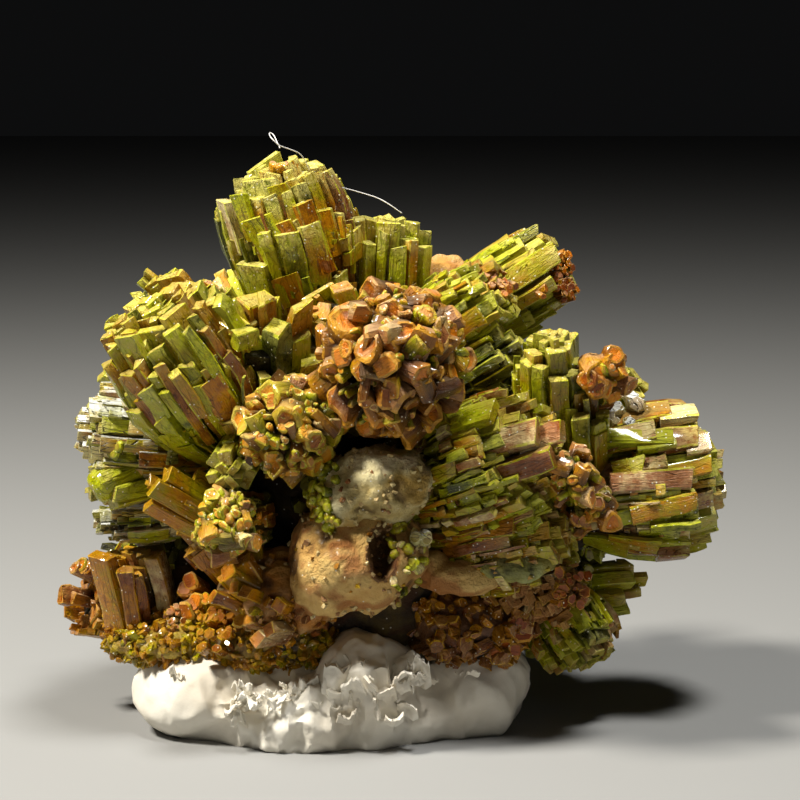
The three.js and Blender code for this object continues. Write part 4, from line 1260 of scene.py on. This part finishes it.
# Small groups at set places: pattern, place, facing, reach, count, widths, heights, tones
clusters = {
    # pale flakes and a knob in the silvery finish, whose white film is a painted reflection
    "silverSheenFlakes": ("silverSheen", [
        ("prism", (19.6, -1.2, 20.6), (-0.3, -0.8, 0.6), 0.9, 14, (0.5, 0.95), (1.0, 1.6), [(0.98, 1)]),
        ("prism", (17.7, -5.2, 16.0), (-0.2, -0.9, 0.4), 0.8, 10, (0.5, 0.95), (1.2, 2.0), [(0.98, 1)]),
        ("knob", (6.2, -10.2, 13.9), (0.2, -1, 0.2), 0.25, 3, (0.8, 1.1), (0.8, 1.2), [(0.98, 1)])]),
    "amberBits": ("amber", [
        ("lath", (-5.2, -8.2, 11.2), (-0.55, -0.5, 0.75), 0.9, 9, (0.8, 1.5), (2.4, 4.0), [(0.52, 2), (0.6, 1)]),
        ("lath", (-3.4, -9.2, 9.0), (-0.7, -0.6, 0.3), 1.2, 8, (0.8, 1.4), (1.6, 2.8), [(0.54, 2), (0.86, 2)]),
        ("grain", (-6.6, -7.6, 7.6), (-0.1, -0.8, 0.5), 1.3, 30, (0.3, 0.8), (0.8, 1.4), [(0.54, 2), (0.62, 1)])]),
    "limeKnob": ("olive", [
        ("knob", (-13.8, -5.3, 16.9), (-0.8, -0.4, -0.3), 0.0, 1, (2.6, 2.7), (4.6, 4.7), [(0.28, 1)]),
        ("knob", (-13.2, -5.4, 18.2), (-0.8, -0.4, 0), 0.3, 4, (0.9, 1.2), (2.0, 2.6), [(0.12, 1)])]),
    "orangeBits": ("orange", [
        ("grain", (15.9, -8.0, 10.2), (0.2, -0.9, 0.2), 1.0, 26, (0.3, 0.8), (0.8, 1.3), [(0.58, 2), (0.64, 1)]),
        ("block", (12.0, -6.4, 6.4), (0.1, -0.9, -0.2), 0.9, 9, (0.8, 1.4), (1.2, 1.8), [(0.64, 1), (0.7, 1)]),
        ("block", (-8.4, -4.8, 8.9), (-0.2, -0.8, 0.5), 0.8, 7, (0.8, 1.3), (1.2, 2.2), [(0.56, 1), (0.6, 1)]),
        ("grain", (-9.4, -5.0, 7.4), (-0.2, -0.9, 0.4), 0.9, 16, (0.3, 0.6), (0.8, 1.4), [(0.86, 2), (0.94, 1)]),
        ("grain", (11.2, -1.6, 29.2), (0.2, -0.6, 0.8), 1.0, 34, (0.25, 0.7), (0.6, 1.0), [(0.58, 2), (0.66, 1)]),
        ("shallowHopper", (17.8, -5.9, 24.0), (0.1, -1, 0.1), 0.9, 6, (1.2, 1.7), (1.2, 1.7), [(0.62, 1)]),
        ("grain", (15.7, 1.8, 29.2), (0.6, -0.7, 0.2), 1.5, 44, (0.25, 0.6), (0.6, 1.1), [(0.64, 2), (0.58, 1)]),
        ("shallowHopper", (-7.4, -6.5, 29.2), (-0.4, -0.4, 0.8), 0.7, 7, (0.4, 0.7), (1.0, 1.8), [(0.62, 1)]),
        ("hopper", (-15.8, -1.6, 10.4), (-0.5, -0.5, 0.6), 0.5, 4, (0.8, 1.2), (1.2, 2.0), [(0.84, 1), (0.4, 1)]),
        ("knob", (-2.9, -1.6, 36.8), (0, -0.3, 1), 0.3, 3, (0.5, 0.8), (0.8, 1.0), [(0.58, 1)])]),
}


def growCluster(kind, spot, facing, reach, count, widths, heights, tones):
    rows = newRows("foot", "along")
    facing = np.array(facing) / np.linalg.norm(facing)
    for _ in range(count):
        shift = chance.uniform(-1, 1, 3) * reach
        along = facing + chance.normal(0, 0.25, 3)
        tall, width = chance.uniform(*heights), chance.uniform(*widths)
        addRow(rows, foot=np.array(spot) + shift - facing * (shift @ facing + tall * 0.7), along=along, end=tall,
               width=width,
               depth=width * chance.uniform(0.75, 1), turn=chance.uniform(0, 3), slantX=chance.normal(0, 0.2),
               tone=pickTone({"tones": tones}), buried=0.4, shown=0.5, capped=1.0)
    return growLoose(kind, rows, 0.1)


for name, (finish, groups) in clusters.items():
    finishGrowth(name, [growCluster(*group) for group in groups], "limonite_matrix", finish)
for name, (finish, parts) in crusts.items():
    finishGrowth(name, [growScatter(rockObjects[part["on"]], part) for part in parts], "limonite_matrix", finish)
print("rock and crusts:", sum(pieceSizes.values()), "triangles so far")


# Mounting putty: a squeezed pad with folds, a pinched pillar in the middle and torn flaps

torn = ((-3.4, -9, 3), (4.4, 4, 4))       # the crumbled stretch left of the middle
pinched = ((3.0, -9, 3.4), (4.4, 4, 5))   # the folded pillar

puttySetup = {
    "voxel": 0.2,
    "blobs": [((0, 0, 1.0), (12.6, 10.0, 5.2)), ((-7.4, -3.4, 2.6), (5.4, 5.6, 3.5)),
              ((2.8, -6.0, 3.2), (3.8, 3.8, 4.4)),
              ((9.4, -2.0, 2.4), (4.0, 5.6, 3.8)), ((-1.6, -6.6, 1.6), (5, 3.6, 2.8)),
              ((-6, 4.6, 2.4), (5, 4.6, 3.4)), ((5, 5.4, 2.6), (5.6, 4.2, 3.6))],
    "relief": [("swell", 5.0, 0.6), ("ridges", 3.4, 0.5), ("folds", 1.5, 0.6, torn), ("ridges", 0.8, 0.4, torn),
               ("folds", 1.7, 1.1, pinched), ("folds", 0.7, 0.4, pinched), ("ridges", 1.3, 0.12),
               ("swell", 0.7, 0.05)],
    # torn flakes of putty: each group has a spot, a spread, a count, sizes, a facing angle, a lean and a curl
    "flaps": [
        ((-3.2, -9.0, 2.8), (2.8, 0.7, 1.1), 26, (0.6, 1.3), -90, (20, 80), 0.24),
        ((2.4, -9.0, 3.4), (1.8, 0.3, 1.0), 6, (2.2, 3.0), -95, (4, 24), 0.14),
        ((3.0, -9.5, 3.2), (2.4, 0.3, 1.4), 14, (0.8, 1.7), -90, (10, 60), 0.18),
        ((5.4, -8.2, 4.4), (0.8, 0.6, 0.8), 9, (0.9, 1.6), -50, (0, 40), 0.24),
        ((-9.0, -6.2, 4.0), (2.0, 1.2, 0.5), 4, (0.6, 1.1), -120, (40, 75), 0.2),
        ((8.0, -6.6, 4.2), (2.0, 1.0, 0.5), 4, (0.6, 1.2), -60, (40, 75), 0.2),
        ((0, 8.6, 3.2), (7.0, 1.0, 1.0), 16, (0.8, 1.6), 90, (20, 70), 0.2)],
}


def modelFlap():
    # one sheet for a torn flap: a thin flat strip, which shapeFlap curls and tears
    clearSelection()
    bpy.ops.mesh.primitive_grid_add(x_subdivisions=18, y_subdivisions=8, size=1, location=(0, 0, 0))
    applyModifier("SOLIDIFY", thickness=0.13)
    return bpy.context.active_object


def shapeFlap(obj, spot, size, facing, lean, curl, seed):
    # bends a flap, tears its edge and stands it on the pad
    points = np.array([vertex.co for vertex in obj.data.vertices])
    ups = points[:, 1] + 0.5
    tear = valueNoise(np.stack([points[:, 0] * 3.2, np.zeros(len(points)), np.full(len(points), seed)], 1), 7)
    frayed = valueNoise(np.stack([points[:, 0] * 9, np.zeros(len(points)), np.full(len(points), seed)], 1), 9)
    ups = ups * (0.85 + 0.32 * tear + 0.1 * frayed)
    sideways = points[:, 0] * (1.1 - 0.2 * ups)
    bend = curl * (np.sin(points[:, 0] * 4.2 + seed) + ups ** 2 * math.sin(seed * 1.7))
    rumple = curl * valueNoise(np.stack([points[:, 0] * 4, ups * 4, np.full(len(points), seed)], 1), 3)
    local = np.stack([sideways, bend + rumple + points[:, 2], ups], axis=1) * size
    turn = Matrix.Rotation(math.radians(facing + 90), 3, "Z") @ Matrix.Rotation(math.radians(lean), 3, "X")
    writePoints(obj, local @ np.array(turn).T + np.array(spot))


def buildPutty(setup):
    pad = modelLump("puttyPad", setup["blobs"], setup["voxel"])
    weather(pad, setup["relief"], 77)
    points, normals = readPoints(pad)
    points[:, 2] = np.maximum(points[:, 2], 0)
    writePoints(pad, points)
    flaps = []
    for spot, spread, count, size, facing, lean, curl in setup["flaps"]:
        for _ in range(count):
            flap = modelFlap()
            place = np.array(spot) + np.array(spread) * chance.uniform(-1, 1, 3)
            shapeFlap(flap, place, chance.uniform(*size), facing + chance.normal(0, 100 * curl),
                      chance.uniform(*lean), curl, len(flaps) * 1.37)
            flaps.append(flap)
    selectOnly(pad, *flaps)
    bpy.ops.object.join()
    return pad


def puttyMaterial():
    material, tree, shader = newMaterial("mountingPutty")
    patches = placeGroup(tree, effects["patches"], Scale=180.0)
    color = mixColor(tree, stepBetween(tree, patches.outputs["Broad"], 0.4, 0.7), (0.80, 0.76, 0.66),
                     (0.68, 0.62, 0.51))
    smudges = stepBetween(tree, patches.outputs["Fine"], 0.6, 0.74)
    color = mixColor(tree, times(tree, smudges, 0.25), color, (0.5, 0.46, 0.38))
    tree.links.new(color, shader.inputs["Base Color"])
    shader.inputs["Roughness"].default_value = 0.72
    addBump(tree, shader, patches.outputs["Fine"], 0.3, 0.2)
    return material


putty = buildPutty(puttySetup)
smoothPiece(putty, 50)
finishPiece(putty, "putty_pad", puttyMaterial())


# A lint fibre caught on the crown, seen on both sides of it
fibreRoutes = [
    [(-1.0, -1.0, 36.4), (-1.33, -1.5, 37.4), (-2.16, -2.6, 37.81), (-2.79, -3.2, 38.02), (-3.14, -3.4, 38.35),
     (-3.41, -3.2, 38.63),
     (-3.49, -2.8, 38.84), (-3.32, -2.6, 38.84), (-3.11, -2.8, 38.59), (-2.94, -3.2, 38.21), (-2.77, -3.3, 37.9)],
    [(0.0, -0.6, 34.8), (0.4, -0.6, 35.4), (1.5, 0.0, 35.13), (2.4, 0.4, 34.85), (3.49, 0.6, 34.51),
     (4.37, 0.4, 34.0), (5.01, 0.6, 33.52)],
]


def buildFibre(name, routes, radius):
    curve = bpy.data.curves.new(name, "CURVE")
    curve.dimensions = "3D"
    curve.bevel_depth = radius * mm
    curve.bevel_resolution = 1
    curve.use_fill_caps = True
    for route in routes:
        line = curve.splines.new("NURBS")
        line.points.add(len(route) - 1)
        for point, spot in zip(line.points, route):
            point.co = (*[value * mm for value in spot], 1)
        line.order_u = 3
        line.use_endpoint_u = True
    obj = bpy.data.objects.new(name, curve)
    bpy.context.collection.objects.link(obj)
    selectOnly(obj)
    bpy.ops.object.convert(target="MESH")
    obj = bpy.context.active_object
    obj.data.materials.append(plainMaterial("lint", (0.82, 0.8, 0.78)))
    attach(obj, "root")


buildFibre("lintFibre", fibreRoutes, 0.034)


# Floor
clearSelection()
bpy.ops.mesh.primitive_plane_add(size=3, location=(0, 0, 0))
floor = bpy.context.active_object
floor.name = "floor"
floor.data.materials.append(plainMaterial("paleFloor", (0.25, 0.25, 0.243), 0.9))

print("pieces:", len(pieceSizes), "largest", max(pieceSizes.values()), "all", sum(pieceSizes.values()))
